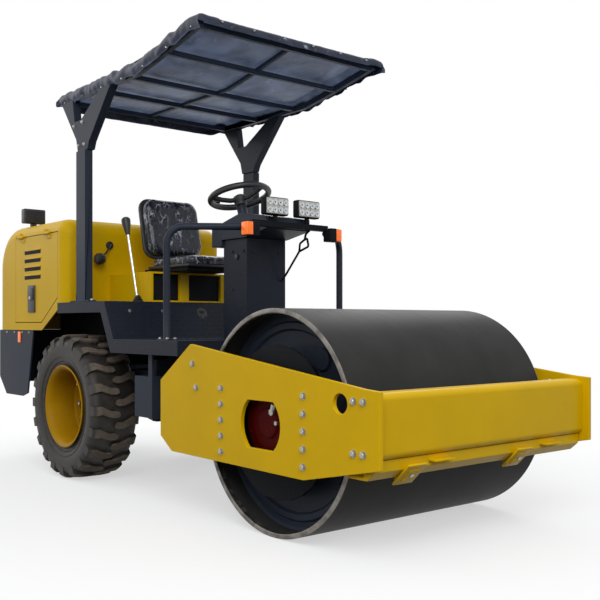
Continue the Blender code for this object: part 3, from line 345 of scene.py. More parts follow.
def moulded_plastic():
    """Black polypropylene with a fine moulded grain of about 1 mm."""
    material, tree, shader, where = start_material("moulded_plastic", IOR=1.49)
    grain = add_node(tree, "ShaderNodeTexVoronoi", links={"Vector": where, "Scale": 700.0})
    tone = ramp(tree, grain.outputs["Distance"], [(0.0, linear("17181A")), (1.0, linear("232427"))])
    tree.links.new(tone, shader.inputs["Base Color"])
    shader.inputs["Roughness"].default_value = 0.45
    bumped(tree, shader, grain.outputs["Distance"], 0.0003, 0.5)
    return material


def ribbed_lens(name, code, tint=0.0, coat=1.0, painted_glow=0.0):
    """Moulded lens plastic: ribs 5 mm apart, painted in lighter and darker bands, over a bright reflector; the light
    the reflector sends back through it is painted in as emission.
    """
    material, tree, shader, where = start_material(name, Coat_Weight=coat, Coat_Roughness=0.04, IOR=1.49)
    ribs = add_node(tree, "ShaderNodeTexWave", {"bands_direction": "Y"}, {"Vector": where, "Scale": 32.0})
    # The ribs are painted lighter and darker along the wave: painted light and shade on each rib.
    tone = ramp(tree, ribs.outputs["Fac"], [(0.2, shade(code, 0.72)), (0.8, shade(code, 1.15))])
    tree.links.new(tone, shader.inputs["Base Color"])
    shader.inputs["Roughness"].default_value = 0.2
    shader.inputs["Metallic"].default_value = tint
    shader.inputs["Emission Color"].default_value = linear(code)
    # This emission is painted light, not a lamp: it stands for the reflector's light coming back through the lens.
    shader.inputs["Emission Strength"].default_value = painted_glow
    bumped(tree, shader, ribs.outputs["Fac"], 0.001, 0.6)
    return material


def finish(name):
    """The material of this finish, made the first time it is asked for."""
    tones = colours()
    makers = {
        "yellow_enamel": lambda: enamel("yellow_enamel", tones.yellow, 0.38, 0.08, 0.06),
        # The rims' enamel is a darker, browner copy of the yellow paint: painted shade for their deep dish.
        "rim_enamel": lambda: enamel("rim_enamel", "B98A08", 0.45, 0.3, 0.0),
        "charcoal_enamel": lambda: enamel("charcoal_enamel", tones.charcoal, 0.42, 0.15, 0.04),
        "chequer_enamel": lambda: enamel("chequer_enamel", tones.chequer, 0.42, 0.2, 0.04),
        # The canopy frame's enamel is a paler copy of the charcoal paint: painted light for the dim space under the
        # cloth.
        "canopy_enamel": lambda: enamel("canopy_enamel", "46536A", 0.42, 0.15, 0.0),
        "black_enamel": lambda: enamel("black_enamel", tones.black, 0.48, 0.2, 0.0, 0.04),
        # The red primer is darkened to paint the shade inside the side-plate ports.
        "red_enamel": lambda: enamel("red_enamel", tones.red, 0.42, 0.3, 0.0, 0.04),
        "rolled_drum_steel": rolled_steel,
        "worn_edge_steel": worn_steel,
        "zinc_plate": zinc,
        "hard_chrome": chrome,
        "moulded_rubber": moulded_rubber,
        "filmed_vinyl": filmed_vinyl,
        "coated_tarpaulin": coated_tarp,
        "moulded_plastic": moulded_plastic,
        "clear_lens": lambda: ribbed_lens("clear_lens", "C9CED2", 0.6),
        # The amber lenses, also used on the side reflectors, carry 0.35 of painted emission.
        "amber_lens": lambda: ribbed_lens("amber_lens", tones.amber, 0.0, 0.1, 0.35),
    }
    return bpy.data.materials.get(name) or makers[name]()


FINISH_OF_SLOT = {
    "yellow_paint": "yellow_enamel",
    "charcoal_paint": "charcoal_enamel",
    "black_paint": "black_enamel",
    "drum_steel": "rolled_drum_steel",
    "bright_steel": "hard_chrome",
    "tyre_rubber": "moulded_rubber",
    "seat_vinyl": "filmed_vinyl",
    "tarp_fabric": "coated_tarpaulin",
    "black_plastic": "moulded_plastic",
    "lamp_lens": "clear_lens",
}


# Shapes -----------------------------------------------------------------------------------------
def put(name, shape, look, body, sharp=32):
    """Makes a piece of a bmesh in place, with its finish and body."""
    mesh = bpy.data.meshes.new(name)
    shape.to_mesh(mesh)
    shape.free()
    mesh.shade_smooth()
    mesh.set_sharp_from_angle(angle=math.radians(sharp))
    obj = bpy.data.objects.new(name, mesh)
    bpy.context.scene.collection.objects.link(obj)
    for one in [look] if isinstance(look, str) else look:
        mesh.materials.append(finish(one))
    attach(obj, body)
    return obj


def add_box(shape, low, high, edge=0.0, segments=2, turn=None):
    """Adds a box, with its edges rounded, turned about its middle."""
    size = [b - a for a, b in zip(low, high)]
    place = Matrix.Translation([(a + b) / 2 for a, b in zip(low, high)])
    if turn:
        place = place @ turn
    made = bmesh.ops.create_cube(shape, size=1, matrix=place @ Matrix.Diagonal((*size, 1)))["verts"]
    if edge:
        edges = list({e for v in made for e in v.link_edges})
        bmesh.ops.bevel(shape, geom=edges, offset=edge, segments=segments, profile=0.5, affect="EDGES", material=-1)


def add_rod(shape, start, end, radius, steps=20, end_radius=None, edge=0.0):
    start, end = Vector(start), Vector(end)
    turn = (end - start).to_track_quat("Z", "Y").to_matrix().to_4x4()
    made = bmesh.ops.create_cone(
        shape, cap_ends=True, segments=steps, radius1=radius, radius2=radius if end_radius is None else end_radius,
        depth=(end - start).length, matrix=Matrix.Translation((start + end) / 2) @ turn)["verts"]
    if edge:
        ends = [e for e in {e for v in made for e in v.link_edges} if any(len(f.verts) > 4 for f in e.link_faces)]
        bmesh.ops.bevel(shape, geom=ends, offset=edge, segments=2, profile=0.5, affect="EDGES", material=-1)


def add_turned(shape, profile, centre, axis, steps, ring=True):
    """Spins (along, radius) points about an axis. A ring's profile is closed."""
    axis = Vector(axis).normalized()
    up = Vector((0, 0, 1)) if abs(axis.z) < 0.5 else Vector((1, 0, 0))
    outward = (up - axis * up.dot(axis)).normalized()
    verts = [shape.verts.new(Vector(centre) + axis * a + outward * r) for a, r in profile]
    pairs = zip(verts, verts[1:] + verts[:1] if ring else verts[1:])
    edges = [shape.edges.new(pair) for pair in pairs]
    bmesh.ops.spin(shape, geom=verts + edges, cent=centre, axis=axis, angle=2 * math.pi, steps=steps, use_merge=True)
    near = [v for v in shape.verts if (v.co - Vector(centre) - axis * (v.co - Vector(centre)).dot(axis)).length < 1e-5]
    bmesh.ops.remove_doubles(shape, verts=near, dist=1e-5)
    bmesh.ops.recalc_face_normals(shape, faces=shape.faces)


def add_prism(shape, outline, axis, low, high, edge=0.0, segments=2):
    """A closed outline of 2D points, in the order of the other two axes, extruded along one axis."""
    across = "xyz".index(axis)
    corners = []
    for point in outline:
        place = list(point)
        place.insert(across, low)
        corners.append(shape.verts.new(place))
    face = shape.faces.new(corners)
    grown = bmesh.ops.extrude_face_region(shape, geom=[face])["geom"]
    move = [0, 0, 0]
    move[across] = high - low
    moved = [g for g in grown if isinstance(g, bmesh.types.BMVert)]
    bmesh.ops.translate(shape, vec=move, verts=moved)
    faces = list({f for v in corners + moved for f in v.link_faces})
    bmesh.ops.recalc_face_normals(shape, faces=faces)
    if edge:
        edges = [e for e in {e for v in corners + moved for e in v.link_edges} if e.calc_face_angle(0) > 0.5]
        bmesh.ops.bevel(shape, geom=edges, offset=edge, segments=segments, profile=0.5, affect="EDGES", material=-1)


def add_bar(shape, route, radius, steps=10):
    """A round bar along a route: a ring of points swept from stop to stop, with closed ends."""
    route = [Vector(p) for p in route]
    rings = []
    side = None
    for i, point in enumerate(route):
        ahead = (route[min(i + 1, len(route) - 1)] - route[max(i - 1, 0)]).normalized()
        if side is None:
            side = ahead.orthogonal()
        side = (side - ahead * side.dot(ahead)).normalized()
        turn = Matrix((side, ahead.cross(side), ahead)).transposed().to_4x4()
        ring = bmesh.ops.create_circle(shape, segments=steps, radius=radius, cap_ends=i in (0, len(route) - 1),
                                       matrix=Matrix.Translation(point) @ turn)["verts"]
        rings.append([e for e in {e for v in ring for e in v.link_edges}])
    for first, second in zip(rings, rings[1:]):
        bmesh.ops.bridge_loops(shape, edges=first + second)
    bmesh.ops.recalc_face_normals(shape, faces=shape.faces)


def rounded_route(corners, radius, steps=6):
    """A route of straight stretches with its corners rounded."""
    corners = [Vector(c) for c in corners]
    route = [corners[0]]
    for before, corner, after in zip(corners, corners[1:], corners[2:]):
        back, ahead = (before - corner).normalized(), (after - corner).normalized()
        for i in range(steps + 1):
            t = i / steps
            route.append(corner + back * radius * (1 - t) ** 2 + ahead * radius * t ** 2)
    return route + [corners[-1]]


def add_bolt(shape, place, way, across=None, tall=0.6):
    """A hexagon head with a domed top on a round washer."""
    across = across or sizes().bolt_across
    place, way = Vector(place), Vector(way).normalized()
    add_rod(shape, place - way * 0.001, place + way * across * 0.12, across * 0.78, 20, across * 0.74)
    add_rod(shape, place, place + way * across * tall * 0.8, across / math.sqrt(3), 6)
    add_rod(shape, place + way * across * tall * 0.8, place + way * across * tall, across * 0.56, 12, across * 0.42)


def arc(centre, radius, start, end, steps):
    angles = [math.radians(start + (end - start) * i / steps) for i in range(steps + 1)]
    return [(centre[0] + radius * math.cos(a), centre[1] + radius * math.sin(a)) for a in angles]


def dressed(node, edge, look=None, segments=2):
    """A merged copy of a CAD node with its sharp edges rounded, which stands for the node."""
    source = frame["nodes"][node]
    shape = bmesh.new()
    shape.from_mesh(source.data)
    bmesh.ops.remove_doubles(shape, verts=shape.verts, dist=2e-5)
    if edge:
        bmesh.ops.dissolve_limit(shape, angle_limit=math.radians(0.6), verts=shape.verts, edges=shape.edges)
        sharp = [e for e in shape.edges
                 if e.is_manifold and e.calc_face_angle(0) > math.radians(38) and e.calc_length() > 3 * edge]
        bmesh.ops.bevel(shape, geom=sharp, offset=edge, segments=segments, profile=0.5, affect="EDGES",
                        clamp_overlap=False, material=-1)
    piece = put(f"{node}_finished", shape, look or FINISH_OF_SLOT[SLOT_OF[node]], BODY_OF[node])
    level = piece.modifiers.new("level", "WEIGHTED_NORMAL")
    level.weight = 100
    level.keep_sharp = True
    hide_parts(node)
    return piece


class ROLLER_OT_frame_finish(Operator):
    """Round the folded sheet's edges and give every frame node its finish."""

    bl_idname = "roller.frame_finish"
    bl_label = "Frame finish"

    def execute(self, context):
        for node, obj in frame["nodes"].items():
            obj.data.materials.clear()
            obj.data.materials.append(finish(FINISH_OF_SLOT[SLOT_OF[node]]))
        edge = context.scene.roller_sizes.edge
        for node in ("side_plate_right", "side_plate_left", "front_beam", "rear_yoke", "front_scraper", "rear_scraper",
                     "chassis", "engine_block", "platform_bearer_rear", "platform_bearer_front", "step_box_right",
                     "step_box_left", "rear_skirt", "seat_box", "dash", "canopy_post_right",
                     "canopy_post_left", "canopy_fork_right", "canopy_fork_left"):
            dressed(node, edge)
        for node in ("platform", "console"):
            dressed(node, edge, "chequer_enamel")
        # The canopy frame gets the paler enamel, with painted light for the dim space under the cloth.
        dressed("canopy_frame", edge, "canopy_enamel")
        for node in ("hood", "hood_door_right", "hood_door_left"):
            dressed(node, 0.0, "yellow_enamel")
        for node in ("handrail_right", "handrail_left", "steering_barrel_right", "steering_barrel_left",
                     "steering_rod_right", "steering_rod_left", "centre_knuckle", "rear_axle", "drum_carrier_right",
                     "drum_carrier_left", "seat_frame"):
            dressed(node, 0.0)
        return {"FINISHED"}


class ROLLER_OT_drum(Operator):
    """Build the drum: chamfered shell, worn edge rings and recessed heads with pressed rings."""

    bl_idname = "roller.drum"
    bl_label = "Drum"

    def execute(self, context):
        radius, half = DRUM_RADIUS, DRUM_HALF
        wall, head = 0.022, 0.52
        inner = radius - wall
        shell = bmesh.new()
        profile = [(-half + 0.006, radius), (half - 0.006, radius), (half - 0.006, inner), (head - 0.012, inner),
                   (-head + 0.012, inner), (-half + 0.006, inner)]
        add_turned(shell, profile, DRUM, (0, 1, 0), 160)
        body = put("drum_shell", shell, "rolled_drum_steel", "drum")
        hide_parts("drum")
        rings = bmesh.new()
        for side in (-1, 1):
            edge = [(side * (half - 0.006), radius), (side * (half - 0.002), radius - 0.0012),
                    (side * half, radius - 0.005), (side * half, inner + 0.004), (side * (half - 0.003), inner),
                    (side * (half - 0.03), inner), (side * (half - 0.03), inner + 0.003), (side * (half - 0.006), inner + 0.003)]
            add_turned(rings, edge, DRUM, (0, 1, 0), 160)
        put("drum_edge_rings", rings, "worn_edge_steel", "drum")
        heads = bmesh.new()
        for side in (-1, 1):
            face = [(head - 0.02, 0.065), (head + 0.004, 0.065), (head + 0.004, 0.12), (head - 0.004, 0.135),
                    (head - 0.004, 0.21), (head + 0.012, 0.222), (head + 0.012, 0.25), (head - 0.003, 0.262),
                    (head - 0.003, 0.40), (head + 0.008, 0.41), (head + 0.008, 0.435), (head, 0.445),
                    (head, inner - 0.012), (head + 0.012, inner + 0.001), (head - 0.02, inner + 0.001)]
            add_turned(heads, [(side * a, r) for a, r in face], DRUM, (0, 1, 0), 96)
            for i in range(12):
                angle = math.radians(30 * i + 15)
                spot = DRUM + Vector((0.17 * math.sin(angle), side * (head - 0.004), 0.17 * math.cos(angle)))
                add_bolt(heads, spot, (0, side, 0), 0.022)
            for i in range(4):
                angle = math.radians(90 * i + 35)
                spot = DRUM + Vector((0.34 * math.sin(angle), side * (head - 0.003), 0.34 * math.cos(angle)))
                add_rod(heads, spot, spot + Vector((0, side * 0.012, 0)), 0.05, 24, 0.046)
        put("drum_heads", heads, "charcoal_enamel", "drum")
        return {"FINISHED"}


class ROLLER_OT_drum_frame_details(Operator):
    """Add the drum frame's bolts, the drive housing behind each port, and the scraper's clamps."""

    bl_idname = "roller.drum_frame_details"
    bl_label = "Drum frame details"

    def execute(self, context):
        bolts = bmesh.new()
        column_z = [DRUM.z - 0.15 + 0.072 * i for i in range(5)]
        spots = [(x, z) for x in (-0.284, 0.284) for z in column_z]
        spots += [(x, z) for x in (0.574, 0.627) for z in (0.637, 0.438)]
        spots += [(-0.514, 0.741), (-0.483, 0.63)]
        for side in (-1, 1):
            for x, z in spots:
                add_bolt(bolts, (DRUM.x + x, side * PLATE_OUTER, z), (0, side, 0))
        for y in (-0.47, 0.23):
            lean = Vector((0.05, 0, -0.05)).normalized()
            add_bolt(bolts, Vector((DRUM.x + 0.649, y, DRUM.z - 0.156)), lean, 0.018)
        put("drum_frame_bolts", bolts, "zinc_plate", "drum_frame")

        housing = bmesh.new()
        for side in (-1, 1):
            profile = [(0.622, 0), (0.622, 0.165), (0.645, 0.165), (0.652, 0.158), (0.652, 0.12), (0.66, 0.112),
                       (0.66, 0.07), (0.668, 0.06), (0.668, 0)]
            add_turned(housing, [(side * a, r) for a, r in profile], DRUM, (0, 1, 0), 64, ring=False)
            for i in range(6):
                angle = math.radians(60 * i + 10)
                spot = DRUM + Vector((0.138 * math.sin(angle), side * 0.652, 0.138 * math.cos(angle)))
                add_bolt(housing, spot, (0, side, 0), 0.014)
        # The housings' darkened red paints the shade inside the ports.
        put("drive_housings", housing, "red_enamel", "drum_frame")
        fitting = bmesh.new()
        for side in (-1, 1):
            spot = DRUM + Vector((0.03, side * 0.655, 0.05))
            add_rod(fitting, spot, spot + Vector((0, side * 0.02, 0)), 0.016, 6, edge=0.002)
            add_rod(fitting, spot + Vector((0, side * 0.012, 0)), spot + Vector((0.012, side * 0.012, 0.034)), 0.011, 6)
            add_rod(fitting, spot + Vector((0.03, 0, -0.045)), spot + Vector((0.03, side * 0.018, -0.045)), 0.01, 6)
        put("drive_fittings", fitting, "zinc_plate", "drum_frame")

        tabs = bmesh.new()
        for y in (-0.32, 0.43):
            add_box(tabs, (DRUM.x + 0.655, y - 0.06, DRUM.z - 0.112), (DRUM.x + 0.70, y + 0.06, DRUM.z - 0.104), 0.002)
        for y in (-0.47, 0.23):
            turn = Matrix.Rotation(math.radians(45), 4, "Y")
            add_box(tabs, (DRUM.x + 0.638, y - 0.055, DRUM.z - 0.215), (DRUM.x + 0.648, y + 0.055, DRUM.z - 0.095),
                    0.002, turn=turn)
        put("scraper_tabs", tabs, "yellow_enamel", "drum_frame")
        return {"FINISHED"}


def tread_lug(shape, centre, side, angle, height):
    """One bent lug: an outline on the flat tread, cut across so that it can bend, then wrapped round the tyre."""
    crown = TYRE_RADIUS
    # (along the tread, outward from the tyre's middle plane)
    outline = [(-0.034, 0.150), (-0.030, 0.100), (-0.012, 0.072), (0.004, 0.040), (0.004, 0.004), (0.016, -0.012),
               (0.040, -0.014), (0.050, 0.004), (0.048, 0.040), (0.036, 0.070), (0.022, 0.100), (0.032, 0.150)]
    flat = bmesh.new()
    base = [flat.verts.new((u, v * side, 0)) for u, v in outline]
    face = flat.faces.new(base)
    for cut in (0.128, 0.100, 0.070, 0.040, 0.010):
        geom = flat.verts[:] + flat.edges[:] + flat.faces[:]
        bmesh.ops.bisect_plane(flat, geom=geom, plane_co=(0, cut * side, 0), plane_no=(0, 1, 0))
    grown = bmesh.ops.extrude_face_region(flat, geom=flat.faces[:])["geom"]
    tops = [g for g in grown if isinstance(g, bmesh.types.BMVert)]
    bmesh.ops.translate(flat, vec=(0, 0, 1), verts=tops)
    bmesh.ops.recalc_face_normals(flat, faces=flat.faces)
    mid = Vector((0.008, 0.07 * side, 0))
    for vert in flat.verts:
        top = vert.co.z > 0.5
        u, v = vert.co.x, vert.co.y
        if top:
            u = mid.x + (u - mid.x) * 0.86
        out = abs(v)
        drop = 0.010 * max(0, (out - 0.06) / 0.09) ** 2
        reach_in = 0.0 if out < 0.149 else 0.03
        radius = crown - drop - (0 if top else height + 0.004) - (reach_in if not top else 0.012 * (out > 0.149))
        turn = angle + u / crown
        vert.co = Vector((centre.x + radius * math.sin(turn), centre.y + v * (0.985 if top else 1.0),
                          centre.z + radius * math.cos(turn)))
    if side < 0:
        bmesh.ops.recalc_face_normals(flat, faces=flat.faces)
    temp = bpy.data.meshes.new("lug")
    flat.to_mesh(temp)
    flat.free()
    shape.from_mesh(temp)
    bpy.data.meshes.remove(temp)


class ROLLER_OT_wheels(Operator):
    """Build each tyre with its carcass and bent lugs, and each deep-dish rim with nuts and valve."""

    bl_idname = "roller.wheels"
    bl_label = "Wheels"

    def execute(self, context):
        size = context.scene.roller_sizes
        for name, out in (("right", -1), ("left", 1)):
            centre = Vector((AXLE.x, middle(f"tyre_{name}").y, AXLE.z))
            tread = TYRE_RADIUS - size.lug_height
            tyre = bmesh.new()
            side = [(-0.100, 0.226), (-0.118, 0.236), (-0.124, 0.262), (-0.136, 0.29), (-0.146, 0.325), (-0.149, 0.36),
                    (-0.144, 0.388), (-0.128, tread - 0.004), (-0.10, tread), (-0.05, tread + 0.003), (0, tread + 0.004)]
            profile = side + [(-a, r) for a, r in reversed(side[:-1])]
            bead = [(0.098, 0.222), (-0.098, 0.222)]
            add_turned(tyre, profile + bead, centre, (0, 1, 0), 96)
            for r in (0.272, 0.30):
                for s in (-1, 1):
                    a = 0.129 if r < 0.28 else 0.140
                    ring = [(s * (a - 0.004), r - 0.004), (s * (a + 0.0035), r), (s * (a - 0.002), r + 0.006)]
                    add_turned(tyre, ring, centre, (0, 1, 0), 96)
            count = size.lugs
            for i in range(count):
                for row, s in ((0, -1), (0.5, 1)):
                    tread_lug(tyre, centre, s, 2 * math.pi * (i + row) / count, size.lug_height)
            piece = put(f"tyre_{name}_tread", tyre, "moulded_rubber", f"wheel_{name}", 40)
            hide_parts(f"tyre_{name}")

            rim = bmesh.new()
            well, lip = 0.221, 0.247
            disc = 0.05
            edge = [(0.132, lip - 0.002), (0.137, lip), (0.139, lip - 0.004), (0.136, lip - 0.012), (0.128, lip - 0.020),
                    (0.124, well + 0.002), (0.10, well - 0.006), (-0.04, well - 0.009), (-disc, well - 0.02),
                    (-disc - 0.004, well - 0.05), (-disc + 0.012, 0.16), (-disc + 0.012, 0.076), (-disc - 0.008, 0.076),
                    (-disc - 0.012, 0.15), (-disc - 0.014, well - 0.03), (-0.08, well - 0.008), (-0.12, well + 0.002),
                    (-0.135, lip - 0.004), (-0.13, lip), (-0.118, lip - 0.012), (-0.105, well + 0.001), (0.112, well + 0.001),
                    (0.122, lip - 0.014)]
            add_turned(rim, [(out * a, r) for a, r in edge], centre, (0, 1, 0), 96)
            # The rim's darker enamel paints the shade of its deep dish.
            piece = put(f"rim_{name}_dish", rim, "rim_enamel", f"wheel_{name}")
            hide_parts(f"rim_{name}")
            nuts = bmesh.new()
            face = centre.y - out * (disc - 0.012)
            for i in range(8):
                angle = math.radians(45 * i)
                spot = (centre.x + 0.115 * math.sin(angle), face, centre.z + 0.115 * math.cos(angle))
                add_bolt(nuts, spot, (0, out, 0), 0.026, 0.8)
            stem = Vector((centre.x + 0.16, centre.y + out * 0.10, centre.z + 0.148))
            add_rod(nuts, stem, stem + Vector((-0.010, out * 0.024, -0.010)), 0.0045, 10)
            put(f"wheel_{name}_nuts", nuts, "zinc_plate", f"wheel_{name}")
        return {"FINISHED"}


class ROLLER_OT_hood_details(Operator):
    """Add louvres, latches, reflectors and the rear grille to the hood."""

    bl_idname = "roller.hood_details"
    bl_label = "Hood details"

    def execute(self, context):
        front = DOOR_HIGH.x
        for name, side in (("right", -1), ("left", 1)):
            face = side * HOOD_HALF
            # The louvre openings are black strips on the door's face: painted shade for the dark inside of the louvres.
            louvre_shade_slots = bmesh.new()
            lips = bmesh.new()
            for i in range(4):
                z = 1.405 - 0.0555 * i
                low, high = sorted((face - side * 0.001, face + side * 0.0012))
                add_box(louvre_shade_slots, (front - 0.50, low, z - 0.013), (front - 0.25, high, z + 0.011), 0.0005, 1)
                low, high = sorted((face, face + side * 0.006))
                add_box(lips, (front - 0.507, low, z + 0.010), (front - 0.243, high, z + 0.016), 0.002)
            body = f"hood_door_{name}"
            put(f"hood_louvre_shade_{name}", louvre_shade_slots, "black_enamel", body)
            put(f"hood_louvre_lips_{name}", lips, "yellow_enamel", body)
            latch = bmesh.new()
            low, high = sorted((face - side * 0.002, face + side * 0.008))
            add_box(latch, (front - 0.44, low, 1.005), (front - 0.33, high, 1.185), 0.004)
            low, high = sorted((face + side * 0.006, face + side * 0.016))
            add_box(latch, (front - 0.425, low, 1.085), (front - 0.345, high, 1.17), 0.005)
            put(f"hood_latch_{name}", latch, "moulded_plastic", body)
            key = bmesh.new()
            low, high = face + side * 0.006, face + side * 0.019
            add_rod(key, (front - 0.385, low, 1.10), (front - 0.385, high, 1.10), 0.012, 20, edge=0.001)
            put(f"hood_key_{name}", key, "zinc_plate", body)

        skirt = reach("rear_skirt", 1, 1)
        top = reach("rear_skirt", 2, 1)
        bolts = bmesh.new()
        marks = bmesh.new()
        for side in (-1, 1):
            for x in (-0.69, -0.80, -0.93, -1.06):
                add_bolt(bolts, (AXLE.x + x, side * skirt, top - 0.016), (0, side, 0), 0.010)
            low, high = sorted((side * skirt, side * (skirt + 0.006)))
            add_box(marks, (AXLE.x - 0.865, low, top - 0.085), (AXLE.x - 0.825, high, top - 0.012), 0.002)
        for y in (-0.4, 0.4):
            low, high = reach("rear_skirt", 0, 0) - 0.006, reach("rear_skirt", 0, 0)
            add_box(marks, (low, y - 0.05, top - 0.10), (high, y + 0.05, top - 0.06), 0.002)
            add_bolt(bolts, (high, y * 1.2, top - 0.022), (-1, 0, 0), 0.014)
        put("skirt_bolts", bolts, "zinc_plate", "tractor_frame")
        put("side_reflectors", marks, "amber_lens", "tractor_frame")

        # A black sheet behind the rear grille's bars paints the shade of its opening.
        grille = bmesh.new()
        back = HOOD_LOW.x
        add_box(grille, (back - 0.002, -0.36, 0.93), (back + 0.001, 0.36, 1.27), 0.0008, 1)
        put("rear_grille_painted_shade", grille, "black_enamel", "tractor_frame")
        slats = bmesh.new()
        for i in range(9):
            z = 0.95 + 0.0375 * i
            turn = Matrix.Rotation(math.radians(35), 4, "Y")
            add_box(slats, (back - 0.007, -0.365, z - 0.009), (back - 0.005, 0.365, z + 0.009), 0.0005, 1, turn)
        for y in (-0.37, 0.37):
            add_box(slats, (back - 0.012, y - 0.008, 0.92), (back, y + 0.008, 1.28), 0.003)
        for z in (0.92, 1.28):
            add_box(slats, (back - 0.012, -0.378, z - 0.008), (back, 0.378, z + 0.008), 0.003)
        put("rear_grille", slats, "yellow_enamel", "tractor_frame")
        return {"FINISHED"}


class ROLLER_OT_tread_plate(Operator):
    """Raise the chequer bars on the deck, the riser and the floor, and bolt the plates down."""

    bl_idname = "roller.tread_plate"
    bl_label = "Tread plate"

    def execute(self, context):
        pitch = context.scene.roller_sizes.tread_pitch
        rear = reach("platform", 0, 0) + 0.01
        deck_end = AXLE.x + 0.442
        floor_start = AXLE.x + 0.549
        front = reach("platform", 0, 1)
        slope = Vector((floor_start - deck_end, 0, FLOOR_TOP - DECK_TOP))
        planes = [
            (Vector((rear, 0, DECK_TOP)), Vector((1, 0, 0)), deck_end - rear),
            (Vector((deck_end, 0, DECK_TOP)), slope.normalized(), slope.length),
            (Vector((floor_start, 0, FLOOR_TOP)), Vector((1, 0, 0)), front - floor_start),
        ]
        bars = bmesh.new()
        for start, along, length in planes:
            up = along.cross(Vector((0, 1, 0))) * -1
            up = up if up.z > 0 else -up
            rows = int((length - 0.03) / pitch)
            columns = int((2 * PLATFORM_HALF - 0.03) / pitch)
            for row in range(rows):
                for column in range(columns):
                    y = (column - (columns - 1) / 2) * pitch
                    spot = start + along * (0.02 + pitch * (row + 0.5)) + Vector((0, y, 0))
                    turn = 45 if (row + column) % 2 else -45
                    basis = Matrix((along, Vector((0, 1, 0)), up)).transposed().to_4x4()
                    place = Matrix.Translation(spot + up * 0.0004) @ basis @ Matrix.Rotation(math.radians(turn), 4, "Z")
                    place = place @ Matrix.Diagonal((0.025, 0.0075, 0.0028, 1))
                    bmesh.ops.create_cone(bars, cap_ends=True, segments=8, radius1=0.5, radius2=0.32, depth=1,
                                          matrix=place)
        put("tread_bars", bars, "chequer_enamel", "tractor_frame")

        bolts = bmesh.new()
        for side in (-1, 1):
            for x in (0.06, 0.25):
                add_bolt(bolts, (AXLE.x + x, side * 0.625, DECK_TOP + 0.0095), (0, 0, 1), 0.016)
            for x in (-0.035, 0.035):
                for y in (0.585, 0.63):
                    add_bolt(bolts, (DRUM.x - 0.90 + x, side * y, FLOOR_TOP + 0.008), (0, 0, 1), 0.014)
            add_bolt(bolts, (AXLE.x + 0.31, side * 0.5, DECK_TOP), (0, 0, 1), 0.014)
        for y in (-0.5, -0.28, 0.28, 0.5):
            add_bolt(bolts, (AXLE.x + 0.47, y, DECK_TOP - 0.055), slope.cross(Vector((0, -1, 0))), 0.012)
        put("deck_bolts", bolts, "zinc_plate", "tractor_frame")
        return {"FINISHED"}


def padded_piece(name, node, low, high, turn, cap):
    """A stuffed pad: a rounded block, remeshed, blown up as cloth with its movement capped, then creased."""
    block = bmesh.new()
    size = [h - l for l, h in zip(low, high)]
    thin = size.index(min(size))
    wide = [axis for axis in range(3) if axis != thin]
    corner = 0.075
    outline = []
    for (u, v), start in (((1, 1), 0), ((0, 1), 90), ((0, 0), 180), ((1, 0), 270)):
        centre = [(low[a] + corner, high[a] - corner)[end] for a, end in zip(wide, (u, v))]
        outline += arc(centre, corner, start, start + 90, 6)
    add_prism(block, outline, "xyz"[thin], low[thin], high[thin], size[thin] * 0.34, 4)
    bmesh.ops.transform(block, matrix=turn, verts=block.verts)
    pad = put(name, block, "filmed_vinyl", "tractor_frame", 80)
    remesh = pad.modifiers.new("remesh", "REMESH")
    remesh.mode = "VOXEL"
    remesh.voxel_size = 0.007
    bake_modifiers(pad)
    rest = [v.co.copy() for v in pad.data.vertices]
    cloth = pad.modifiers.new("cloth", "CLOTH")
    cloth.settings.use_pressure = True
    cloth.settings.uniform_pressure_force = 4
    cloth.settings.effector_weights.gravity = 0
    cloth.point_cache.frame_end = 20
    for step in range(1, 21):
        bpy.context.scene.frame_set(step)
    bake_modifiers(pad)
    bpy.context.scene.frame_set(1)
    for vert, was in zip(pad.data.vertices, rest):
        move = vert.co - was
        if move.length > cap:
            vert.co = was + move.normalized() * cap
    height = sizes().film_wrinkle
    for vert in pad.data.vertices:
        place = vert.co
        fold = noise.turbulence(Vector((place.x * 14, place.y * 14, place.z * 9)), 4, True, noise_basis="PERLIN_ORIGINAL")
        vert.co = place + vert.normal * (height * (0.55 - fold))
    smooth = pad.modifiers.new("finer", "SUBSURF")
    smooth.levels = smooth.render_levels = 1
    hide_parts(node)
    return pad


def bake_modifiers(obj):
    """Applies the modifiers to the mesh."""
    graph = bpy.context.evaluated_depsgraph_get()
    mesh = bpy.data.meshes.new_from_object(obj.evaluated_get(graph))
    obj.modifiers.clear()
    obj.data = mesh
    mesh.shade_smooth()


